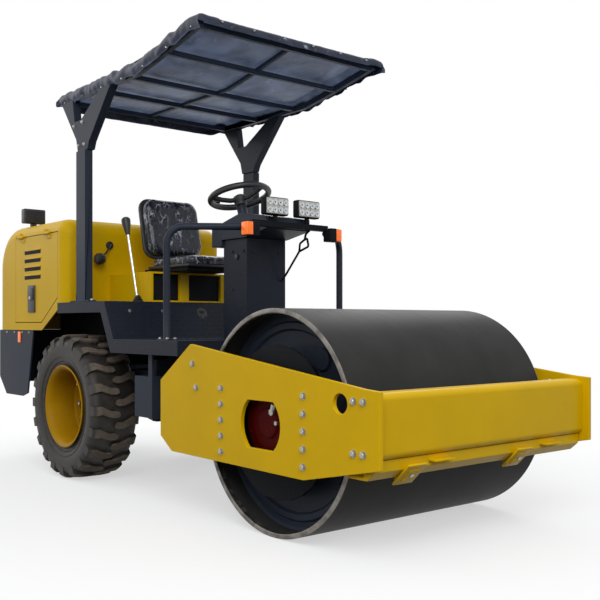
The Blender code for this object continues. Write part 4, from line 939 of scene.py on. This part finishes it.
class ROLLER_OT_seat(Operator):
    """Make the seat's two stuffed pads in their clear film, and the shells they sit in."""

    bl_idname = "roller.seat"
    bl_label = "Seat"

    def execute(self, context):
        low, high = (Vector(c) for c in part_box("seat_cushion"))
        inset = Vector((0.008, 0.008, 0.006))
        padded_piece("seat_cushion_pad", "seat_cushion", low + inset, high - inset, Matrix.Identity(4), 0.007)
        low, high = (Vector(c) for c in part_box("seat_back"))
        recline = math.atan(0.085 / 0.385)
        tall = (high.z - low.z) / math.cos(recline)
        centre = (low + high) / 2
        turn = Matrix.Translation(centre) @ Matrix.Rotation(-recline, 4, "Y")
        half = Vector((0.036, high.y - 0.008, tall / 2 - 0.012))
        padded_piece("seat_back_pad", "seat_back", -half, half, turn, 0.007)
        box_low, box_high = (Vector(c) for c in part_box("seat_box"))
        # Black sheets set in the seat box's bays paint the bays dark: painted shade for their hollows.
        bay_shade_sheets = bmesh.new()
        for side_low, side_high in ((box_low.y + 0.0215, -0.0755), (-0.0055, box_high.y - 0.0515)):
            add_box(bay_shade_sheets, (box_low.x + 0.062, side_low, box_low.z + 0.013),
                    (box_high.x - 0.02, side_high, box_high.z - 0.013), 0.001, 1)
        put("seat_box_bay_shade", bay_shade_sheets, "black_enamel", "tractor_frame")
        shells = bmesh.new()
        made = bmesh.new()
        wide, corner = high.y - 0.002, 0.075
        outline = []
        for (u, v), start in (((1, 1), 0), ((-1, 1), 90), ((-1, -1), 180), ((1, -1), 270)):
            outline += arc((u * (wide - corner), v * (tall / 2 - corner)), corner, start, start + 90, 6)
        add_prism(made, outline, "x", -0.047, -0.026, 0.006, 3)
        bmesh.ops.transform(made, matrix=turn, verts=made.verts)
        temp = bpy.data.meshes.new("shell")
        made.to_mesh(temp)
        made.free()
        shells.from_mesh(temp)
        bpy.data.meshes.remove(temp)
        base = [Vector(c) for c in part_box("seat_cushion")]
        add_box(shells, (base[0].x + 0.01, base[0].y + 0.006, base[0].z - 0.001),
                (base[1].x - 0.012, base[1].y - 0.006, base[0].z + 0.016), 0.006)
        put("seat_shells", shells, "moulded_plastic", "tractor_frame")
        return {"FINISHED"}


class ROLLER_OT_canopy(Operator):
    """Drape the canopy cloth over its frame, with a hem and lacing studs."""

    bl_idname = "roller.canopy"
    bl_label = "Canopy"

    def execute(self, context):
        low, high = (Vector(c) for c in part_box("canopy_cover"))
        drop = context.scene.roller_sizes.valance
        half = high.y - 0.012
        rear, front = low.x + 0.012, high.x - 0.012
        length, width = front - rear + 0.03, 2 * half
        lift = 0.0375
        base = reach("canopy_frame", 2, 0) + lift
        bars = [AXLE.x + x for x in (-0.113, 0.255, 0.635, 1.015, 1.315)]

        def ridge(x):
            """Height of the cloth over the frame's rails."""
            run = x - AXLE.x
            if run < 0.742:
                return base
            if run < 0.944:
                return base + 0.035 * (run - 0.742) / 0.202
            return base + 0.035 + 0.088 * (run - 0.944) / 0.434

        cloth = bmesh.new()
        columns, rows = 132, 116
        bmesh.ops.create_grid(cloth, x_segments=columns, y_segments=rows, size=1)
        out_x, out_y = front - rear + 2 * drop, width + 2 * drop
        for vert in cloth.verts:
            u = rear - drop + (vert.co.x + 1) / 2 * out_x
            v = -half - drop + (vert.co.y + 1) / 2 * out_y
            over_x = max(rear - u, u - front, 0)
            over_y = max(abs(v) - half, 0)
            x, y = max(rear, min(front, u)), max(-half, min(half, v))
            span = min(abs(x - b) for b in bars)
            sag = 0.010 * min(1, span / 0.16) * (1 - (y / half) ** 4)
            crease = noise.turbulence(Vector((x * 3.5, y * 9 + x * 5, 0)), 4, True, noise_basis="PERLIN_ORIGINAL") - 0.5
            inward = min(1, (half - abs(y)) / 0.16)
            puff = 0.034 * math.sin(math.pi * min(1, inward + 0.25)) if inward < 0.75 else 0.0
            bunch = noise.noise(Vector((x * 13 + y * 9, y * 16 - x * 4, 0.5))) + 0.6 * noise.noise(Vector((x * 31 + y * 20, y * 22, 4.2)))
            z = ridge(x) + 0.003 - sag + 0.012 * crease * (0.3 + 0.7 * (1 - inward))
            z += min((puff + 0.014 * bunch * (1 - inward)) * (1 - inward ** 2), 0.005 + 0.2 * (front - x))
            hang = max(over_x * (0.55 if u > front else 1.0), over_y)
            if hang:
                ripple = noise.noise(Vector((u * 16, v * 16, 3.1))) * 0.6 + noise.noise(Vector((u * 37, v * 37, 1.7))) * 0.4
                z -= hang * 0.97
                if over_y:
                    swell = 0.016 * math.sin(math.pi * min(1, over_y / drop)) + 0.016 * ripple * min(1, hang / 0.03)
                    y += math.copysign(max(swell, -0.004) + 0.006, v)
                if over_x:
                    x += math.copysign(0.007 + 0.010 * ripple, u - (rear + front) / 2) * min(1, over_x / 0.02)
                if over_x and over_y:
                    pinch = min(over_x, over_y) * 0.22
                    x += math.copysign(pinch, u - (rear + front) / 2)
                    y += math.copysign(pinch, v)
            vert.co = (x, y, z)
        bmesh.ops.smooth_vert(cloth, verts=cloth.verts, factor=0.4, use_axis_x=True, use_axis_y=True, use_axis_z=True)
        tarp = put("canopy_cloth", cloth, "coated_tarpaulin", "tractor_frame", 80)
        solid = tarp.modifiers.new("thickness", "SOLIDIFY")
        solid.thickness = 0.0012
        solid.offset = 1
        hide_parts("canopy_cover")

        bar = bmesh.new()
        route = [(rear + 0.02, base - 0.022), (AXLE.x + 0.742, base - 0.022), (AXLE.x + 0.944, base + 0.013),
                 (AXLE.x + 1.31, base + 0.087)]
        outline = route + [(x, z + 0.018) for x, z in reversed(route)]
        add_prism(bar, outline, "y", -0.014, 0.014, 0.002)
        # The middle bar also gets the paler enamel, with its painted light.
        put("canopy_middle_bar", bar, "canopy_enamel", "tractor_frame")

        studs = bmesh.new()
        for side in (-1, 1):
            for i in range(7):
                x = rear + 0.06 + (front - rear - 0.12) * i / 6
                spot = Vector((x, side * (half + 0.012), ridge(x) - 0.034))
                add_rod(studs, spot, spot + Vector((0, side * 0.007, 0)), 0.006, 12, 0.004)
            bolt_x = reach("canopy_post_right", 0, 0) + 0.08
            for x, z in ((-0.055, 2.115), (0.0, 1.99), (0.075, 1.99), (0.05, 2.125)):
                add_bolt(studs, (bolt_x + x - 0.03, side * 0.64, z), (0, side, 0), 0.014)
        for i in range(6):
            y = -half + 0.12 + (2 * half - 0.24) * i / 5
            spot = Vector((rear - 0.012, y, ridge(rear) - 0.034))
            add_rod(studs, spot, spot - Vector((0.007, 0, 0)), 0.006, 12, 0.004)
            spot = Vector((front + 0.012, y, ridge(front) - 0.016))
            add_rod(studs, spot, spot + Vector((0.007, 0, 0)), 0.006, 12, 0.004)
        put("canopy_studs", studs, "zinc_plate", "tractor_frame")
        return {"FINISHED"}


class ROLLER_OT_steering_wheel(Operator):
    """Build the steering wheel with a grip ring, three flat spokes, hub cap and spinner knob."""

    bl_idname = "roller.steering_wheel"
    bl_label = "Steering wheel"

    def execute(self, context):
        wheel = bmesh.new()
        across = STEER_AXIS.orthogonal().normalized()
        ring = [(0.010 + 0.018 * math.sin(math.radians(a)), 0.1685 + 0.018 * math.cos(math.radians(a)))
                for a in range(0, 360, 30)]
        add_turned(wheel, ring, STEER_HUB, STEER_AXIS, 80)
        hub = [(-0.045, 0.014), (-0.045, 0.034), (-0.010, 0.040), (0.008, 0.036), (0.016, 0.022), (0.018, 0.0)]
        add_turned(wheel, hub, STEER_HUB, STEER_AXIS, 32, ring=False)
        for angle in (90, 210, 330):
            way = Matrix.Rotation(math.radians(angle), 3, STEER_AXIS) @ across
            route = [STEER_HUB + way * r + STEER_AXIS * a for r, a in
                     ((0.025, -0.012), (0.06, -0.016), (0.11, -0.010), (0.165, 0.006))]
            add_bar(wheel, route, 0.014, 12)
        way = Matrix.Rotation(math.radians(150), 3, STEER_AXIS) @ across
        spot = STEER_HUB + way * 0.172 + STEER_AXIS * 0.015
        knob = [(0.0, 0.0), (0.0, 0.010), (0.012, 0.010), (0.016, 0.019), (0.030, 0.024), (0.042, 0.021), (0.048, 0.010),
                (0.049, 0.0)]
        add_turned(wheel, knob, spot, STEER_AXIS, 24, ring=False)
        piece = put("steering_wheel_rim", wheel, "moulded_plastic", "steering_wheel", 45)
        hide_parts("steering_wheel")
        return {"FINISHED"}


class ROLLER_OT_lamps(Operator):
    """Build the work lamps, the indicators and the rear lamp."""

    bl_idname = "roller.lamps"
    bl_label = "Lamps"

    def execute(self, context):
        for name in ("right", "left"):
            low, high = (Vector(c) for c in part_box(f"work_lamp_{name}"))
            y = (low.y + high.y) / 2
            case = bmesh.new()
            add_box(case, (low.x, low.y, high.z - 0.095), (high.x - 0.008, high.y, high.z), 0.010, 3)
            for i in range(7):
                z = high.z - 0.085 + 0.0125 * i
                add_box(case, (low.x - 0.006, low.y + 0.012, z), (low.x + 0.004, high.y - 0.012, z + 0.004), 0.001, 1)
            add_box(case, (high.x - 0.035, y - 0.012, low.z), (high.x - 0.021, y + 0.012, high.z - 0.09), 0.003)
            piece = put(f"work_lamp_{name}_case", case, "black_enamel", "tractor_frame")
            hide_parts(f"work_lamp_{name}")
            face = bmesh.new()
            add_box(face, (high.x - 0.011, low.y + 0.006, high.z - 0.089), (high.x - 0.004, high.y - 0.006, high.z - 0.006),
                    0.003)
            put(f"work_lamp_{name}_frame", face, "zinc_plate", "tractor_frame")
            cells = bmesh.new()
            for i in range(4):
                for j in range(2):
                    spot = Vector((high.x - 0.004, low.y + 0.026 + 0.036 * i, high.z - 0.068 + 0.040 * j))
                    cup = [(0.0, 0.0), (0.0, 0.004), (0.003, 0.012), (0.004, 0.0165), (-0.001, 0.0165), (-0.001, 0.0)]
                    add_turned(cells, cup, spot, (1, 0, 0), 20, ring=False)
            put(f"work_lamp_{name}_cells", cells, "clear_lens", "tractor_frame")

        dressed("lamp_bar", 0.002)
        bar = [Vector(c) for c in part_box("lamp_bar")]
        lens = bmesh.new()
        back = bmesh.new()
        for side in (-1, 1):
            low, high = sorted((side * (bar[1].y - 0.034), side * (bar[1].y + 0.006)))
            add_box(lens, (bar[1].x - 0.052, low, 1.386), (bar[1].x + 0.004, high, 1.454), 0.006, 3)
            low, high = sorted((side * (bar[1].y - 0.078), side * (bar[1].y - 0.032)))
            add_box(back, (bar[1].x - 0.050, low, 1.383), (bar[1].x + 0.002, high, 1.457), 0.004)
        put("indicator_lenses", lens, "amber_lens", "tractor_frame")
        put("indicator_bodies", back, "black_enamel", "tractor_frame")
        low, high = (Vector(c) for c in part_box("rear_lamp"))
        case = bmesh.new()
        add_box(case, (low.x, low.y, low.z + 0.03), (high.x, high.y, high.z), 0.008, 3)
        y = (low.y + high.y) / 2
        add_box(case, (low.x + 0.015, y - 0.02, low.z), (low.x + 0.04, y + 0.02, low.z + 0.035), 0.002)
        for i in range(5):
            z = low.z + 0.045 + 0.016 * i
            add_box(case, (high.x - 0.002, low.y + 0.012, z), (high.x + 0.004, high.y - 0.012, z + 0.005), 0.001, 1)
        piece = put("rear_lamp_case", case, "moulded_plastic", "tractor_frame")
        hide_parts("rear_lamp")
        glass = bmesh.new()
        add_box(glass, (low.x - 0.004, low.y + 0.008, low.z + 0.038), (low.x + 0.004, high.y - 0.008, high.z - 0.008), 0.002)
        put("rear_lamp_lens", glass, "clear_lens", "tractor_frame")
        return {"FINISHED"}


class ROLLER_OT_controls(Operator):
    """Build the travel lever, the throttle, the looped bracket, the dash's gauges and small console fittings."""

    bl_idname = "roller.controls"
    bl_label = "Controls"

    def execute(self, context):
        foot = Vector((AXLE.x + 0.307, -0.35, DECK_TOP))
        knob = Vector((AXLE.x + 0.164, -0.35, reach("travel_lever", 2, 1) - 0.026))
        way = (knob - foot).normalized()
        rod = bmesh.new()
        add_rod(rod, foot + way * 0.02, knob - way * 0.02, 0.0075, 16)
        piece = put("travel_lever_rod", rod, "hard_chrome", "tractor_frame")
        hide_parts("travel_lever")
        grip = bmesh.new()
        profile = [(-0.085, 0.0), (-0.085, 0.013), (-0.06, 0.018), (-0.03, 0.024), (0.0, 0.028), (0.015, 0.027),
                   (0.025, 0.018), (0.028, 0.0)]
        add_turned(grip, profile, knob, way, 24, ring=False)
        boot = [(0.0, 0.0), (0.0, 0.034), (0.006, 0.034), (0.010, 0.026), (0.016, 0.028), (0.022, 0.019), (0.028, 0.021),
                (0.040, 0.010), (0.042, 0.0)]
        add_turned(grip, boot, foot + Vector((0, 0, 0.001)), (0, 0, 1), 24, ring=False)
        put("travel_lever_grip", grip, "moulded_plastic", "tractor_frame")

        throttle = bmesh.new()
        x = HOOD_HIGH.x
        low, high = (Vector(c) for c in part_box("throttle_lever"))
        y, top = high.y - 0.025, high.z - 0.025
        ball = Vector((high.x, low.y, low.z)) + Vector((-0.04, 0.04, 0.04))
        add_rod(throttle, (x, y, top), (x + 0.014, y, top), 0.025, 24, edge=0.002)
        add_bar(throttle, [(x + 0.012, y + 0.005, top + 0.005), (x + 0.034, y - 0.012, top - 0.012),
                           (x + 0.048, y - 0.045, top - 0.05), tuple(ball)], 0.006, 10)
        bulb = [(-0.040, 0.0), (-0.037, 0.014), (-0.022, 0.032), (0.0, 0.040), (0.02, 0.034), (0.036, 0.014), (0.040, 0.0)]
        add_turned(throttle, bulb, ball, (0, 0.5, 1), 24, ring=False)
        piece = put("throttle_knob", throttle, "moulded_plastic", "tractor_frame")
        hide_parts("throttle_lever")

        loop = bmesh.new()
        face = reach("console", 0, 1) + 0.008
        corners = [(face, 0.10, 1.17), (face + 0.03, 0.105, 1.20), (face + 0.12, 0.13, 1.33), (face + 0.16, 0.10, 1.37),
                   (face + 0.19, 0.125, 1.40), (face + 0.175, 0.15, 1.355), (face + 0.12, 0.13, 1.33)]
        add_bar(loop, rounded_route(corners, 0.012), 0.006, 8)
        add_bar(loop, rounded_route([(face + 0.175, 0.12, 1.385), (face + 0.185, 0.12, 1.42), (face + 0.183, 0.15, 1.442)],
                                    0.01), 0.006, 8)
        put("hose_bracket", loop, "black_enamel", "tractor_frame")

        bolts = bmesh.new()
        half = reach("console", 1, 1)
        for y, z in ((-0.09, 1.325), (0.09, 1.325), (-0.09, 0.92), (0.09, 0.92)):
            add_bolt(bolts, (face - 0.008, y, z), (1, 0, 0), 0.012)
        for side in (-1, 1):
            for x, z in ((-0.97, 1.33), (-0.97, 1.12), (-0.97, 0.90), (-0.87, 1.33), (-0.87, 0.90)):
                add_bolt(bolts, (DRUM.x + x, side * half, z), (0, side, 0), 0.012)
        put("console_bolts", bolts, "charcoal_enamel", "tractor_frame")

        small = bmesh.new()
        add_rod(small, (DRUM.x - 0.93, -half, 1.30), (DRUM.x - 0.93, -half - 0.008, 1.30), 0.015, 20, edge=0.002)
        slope = Vector((0.107, 0, FLOOR_TOP - DECK_TOP)).normalized()
        face_on = slope.cross(Vector((0, -1, 0)))
        spot = Vector((AXLE.x + 0.474, 0.0, 0.996))
        add_rod(small, spot, spot + face_on * 0.008, 0.036, 24, 0.032)
        add_rod(small, spot, spot + face_on * 0.022, 0.016, 16, 0.012)
        pedal = (AXLE.x + 0.92, 0.24)
        add_bar(small, [(pedal[0], pedal[1], FLOOR_TOP), (pedal[0], pedal[1], FLOOR_TOP + 0.04),
                        (pedal[0] - 0.02, pedal[1], FLOOR_TOP + 0.075)], 0.008, 10)
        turn = Matrix.Rotation(math.radians(-35), 4, "Y")
        add_box(small, (pedal[0] - 0.075, pedal[1] - 0.04, FLOOR_TOP + 0.07),
                (pedal[0] + 0.025, pedal[1] + 0.04, FLOOR_TOP + 0.08), 0.003, 2, turn)
        put("pedals", small, "moulded_plastic", "tractor_frame")

        dials = bmesh.new()
        top = Vector((DRUM.x - 1.10, 0, 1.488))
        lean = Vector((-0.25, 0, 1)).normalized()
        for y in (-0.105, 0.105):
            add_rod(dials, top + Vector((0, y, -0.004)), top + Vector((0, y, 0)) + lean * 0.008, 0.030, 28, edge=0.002)
        put("dash_gauges", dials, "clear_lens", "tractor_frame")
        return {"FINISHED"}


class ROLLER_OT_stage(Operator):
    """Set the pale floor, the soft lights, the world and the camera."""

    bl_idname = "roller.stage"
    bl_label = "Stage"

    def execute(self, context):
        scene = context.scene
        scene.view_settings.view_transform = "Standard"
        ground = bmesh.new()
        bmesh.ops.create_circle(ground, cap_ends=True, segments=96, radius=60)
        mesh = bpy.data.meshes.new("floor")
        ground.to_mesh(mesh)
        ground.free()
        floor = bpy.data.objects.new("floor", mesh)
        scene.collection.objects.link(floor)
        mesh.materials.append(self.floor_finish())
        self.sky(scene)
        for name, place, size, power in (("key_light", (4.9, -3.7, 4.7), 4.0, 235), ("fill_light", (-5.0, -3.0, 3.5), 4.0, 55),
                                         ("back_light", (-3.0, 4.5, 5.0), 4.0, 105)):
            lamp = bpy.data.lights.new(name, "AREA")
            lamp.size = size
            lamp.energy = power
            obj = bpy.data.objects.new(name, lamp)
            obj.location = place
            obj.rotation_euler = (Vector((0, 0, 0.8)) - Vector(place)).to_track_quat("-Z", "Y").to_euler()
            scene.collection.objects.link(obj)
        lens = bpy.data.cameras.new("view")
        lens.lens, lens.sensor_width = 52.95, 36
        lens.shift_x, lens.shift_y = 0.0417, 0.0385
        camera = bpy.data.objects.new("view", lens)
        camera.location = (4.199, -3.061, 0.934)
        camera.rotation_euler = (math.radians(90), 0, math.radians(50.75))
        scene.collection.objects.link(camera)
        scene.camera = camera
        return {"FINISHED"}

    def seen_plainly(self, tree):
        """1 for rays from the camera, a mirror or a glass, else 0."""
        path = add_node(tree, "ShaderNodeLightPath")
        first = add_node(tree, "ShaderNodeMath", {"operation": "MAXIMUM"},
                         {0: path.outputs["Is Camera Ray"], 1: path.outputs["Is Glossy Ray"]})
        return add_node(tree, "ShaderNodeMath", {"operation": "MAXIMUM"},
                        {0: first.outputs[0], 1: path.outputs["Is Transmission Ray"]}).outputs[0]

    def floor_finish(self):
        """Matt white floor that fades to plain white away from the machine."""
        material, tree, shader, where = start_material("matt_floor", Roughness=0.9)
        bounce = add_node(tree, "ShaderNodeMix", {"data_type": "RGBA"},
                          {0: self.seen_plainly(tree), 6: linear("565656"), 7: linear("FAFAFA")})
        tree.links.new(bounce.outputs[2], shader.inputs["Base Color"])
        shader.inputs["Specular IOR Level"].default_value = 0.1
        reach_out = add_node(tree, "ShaderNodeVectorMath", {"operation": "LENGTH"}, {0: where})
        far = add_node(tree, "ShaderNodeMapRange", {"interpolation_type": "SMOOTHSTEP"},
                       {"Value": reach_out.outputs["Value"], "From Min": 1.4, "From Max": 3.4, "To Min": 0.55})
        plain = add_node(tree, "ShaderNodeMath", {"operation": "MULTIPLY"}, {0: far.outputs[0], 1: self.seen_plainly(tree)})
        white = add_node(tree, "ShaderNodeEmission", links={"Color": (1, 1, 1, 1), "Strength": 1.0})
        mixed = add_node(tree, "ShaderNodeMixShader",
                         links={0: plain.outputs[0], 1: shader.outputs[0], 2: white.outputs[0]})
        tree.links.new(mixed.outputs[0], tree.nodes["Material Output"].inputs["Surface"])
        return material

    def sky(self, scene):
        world = bpy.data.worlds.new("soft_sky")
        scene.world = world
        world.use_nodes = True
        tree = world.node_tree
        lit = tree.nodes["Background"]
        lit.inputs["Color"].default_value = (0.93, 0.96, 1.0, 1)
        lit.inputs["Strength"].default_value = 0.62
        plain = add_node(tree, "ShaderNodeBackground", links={"Color": (1, 1, 1, 1), "Strength": 1.0})
        mixed = add_node(tree, "ShaderNodeMixShader", links={0: self.seen_plainly(tree), 1: lit.outputs[0], 2: plain.outputs[0]})
        tree.links.new(mixed.outputs[0], tree.nodes["World Output"].inputs["Surface"])


STEPS = (ROLLER_OT_stage, ROLLER_OT_frame_finish, ROLLER_OT_drum, ROLLER_OT_drum_frame_details, ROLLER_OT_wheels,
         ROLLER_OT_hood_details, ROLLER_OT_tread_plate, ROLLER_OT_seat, ROLLER_OT_canopy, ROLLER_OT_steering_wheel,
         ROLLER_OT_lamps, ROLLER_OT_controls)


class ROLLER_PT_pieces(Panel):
    """Lists the pieces, sizes and colours."""

    bl_label = "Road roller"
    bl_idname = "ROLLER_PT_pieces"
    bl_space_type = "VIEW_3D"
    bl_region_type = "UI"
    bl_category = "Roller"

    def draw(self, context):
        for step in STEPS:
            self.layout.operator(step.bl_idname)
        for group in (context.scene.roller_sizes, context.scene.roller_colours):
            for name in group.bl_rna.properties.keys():
                if name not in ("rna_type", "name"):
                    self.layout.prop(group, name)


CLASSES = (RollerSizes, RollerColours, *STEPS, ROLLER_PT_pieces)


def register():
    for one in CLASSES:
        bpy.utils.register_class(one)
    bpy.types.Scene.roller_sizes = PointerProperty(type=RollerSizes)
    bpy.types.Scene.roller_colours = PointerProperty(type=RollerColours)


def unregister():
    del bpy.types.Scene.roller_colours
    del bpy.types.Scene.roller_sizes
    for one in reversed(CLASSES):
        bpy.utils.unregister_class(one)


def main():
    random.seed(1)
    register()
    for step in STEPS:
        group, name = step.bl_idname.split(".")
        getattr(getattr(bpy.ops, group), name)()


if __name__ == "__main__":
    main()
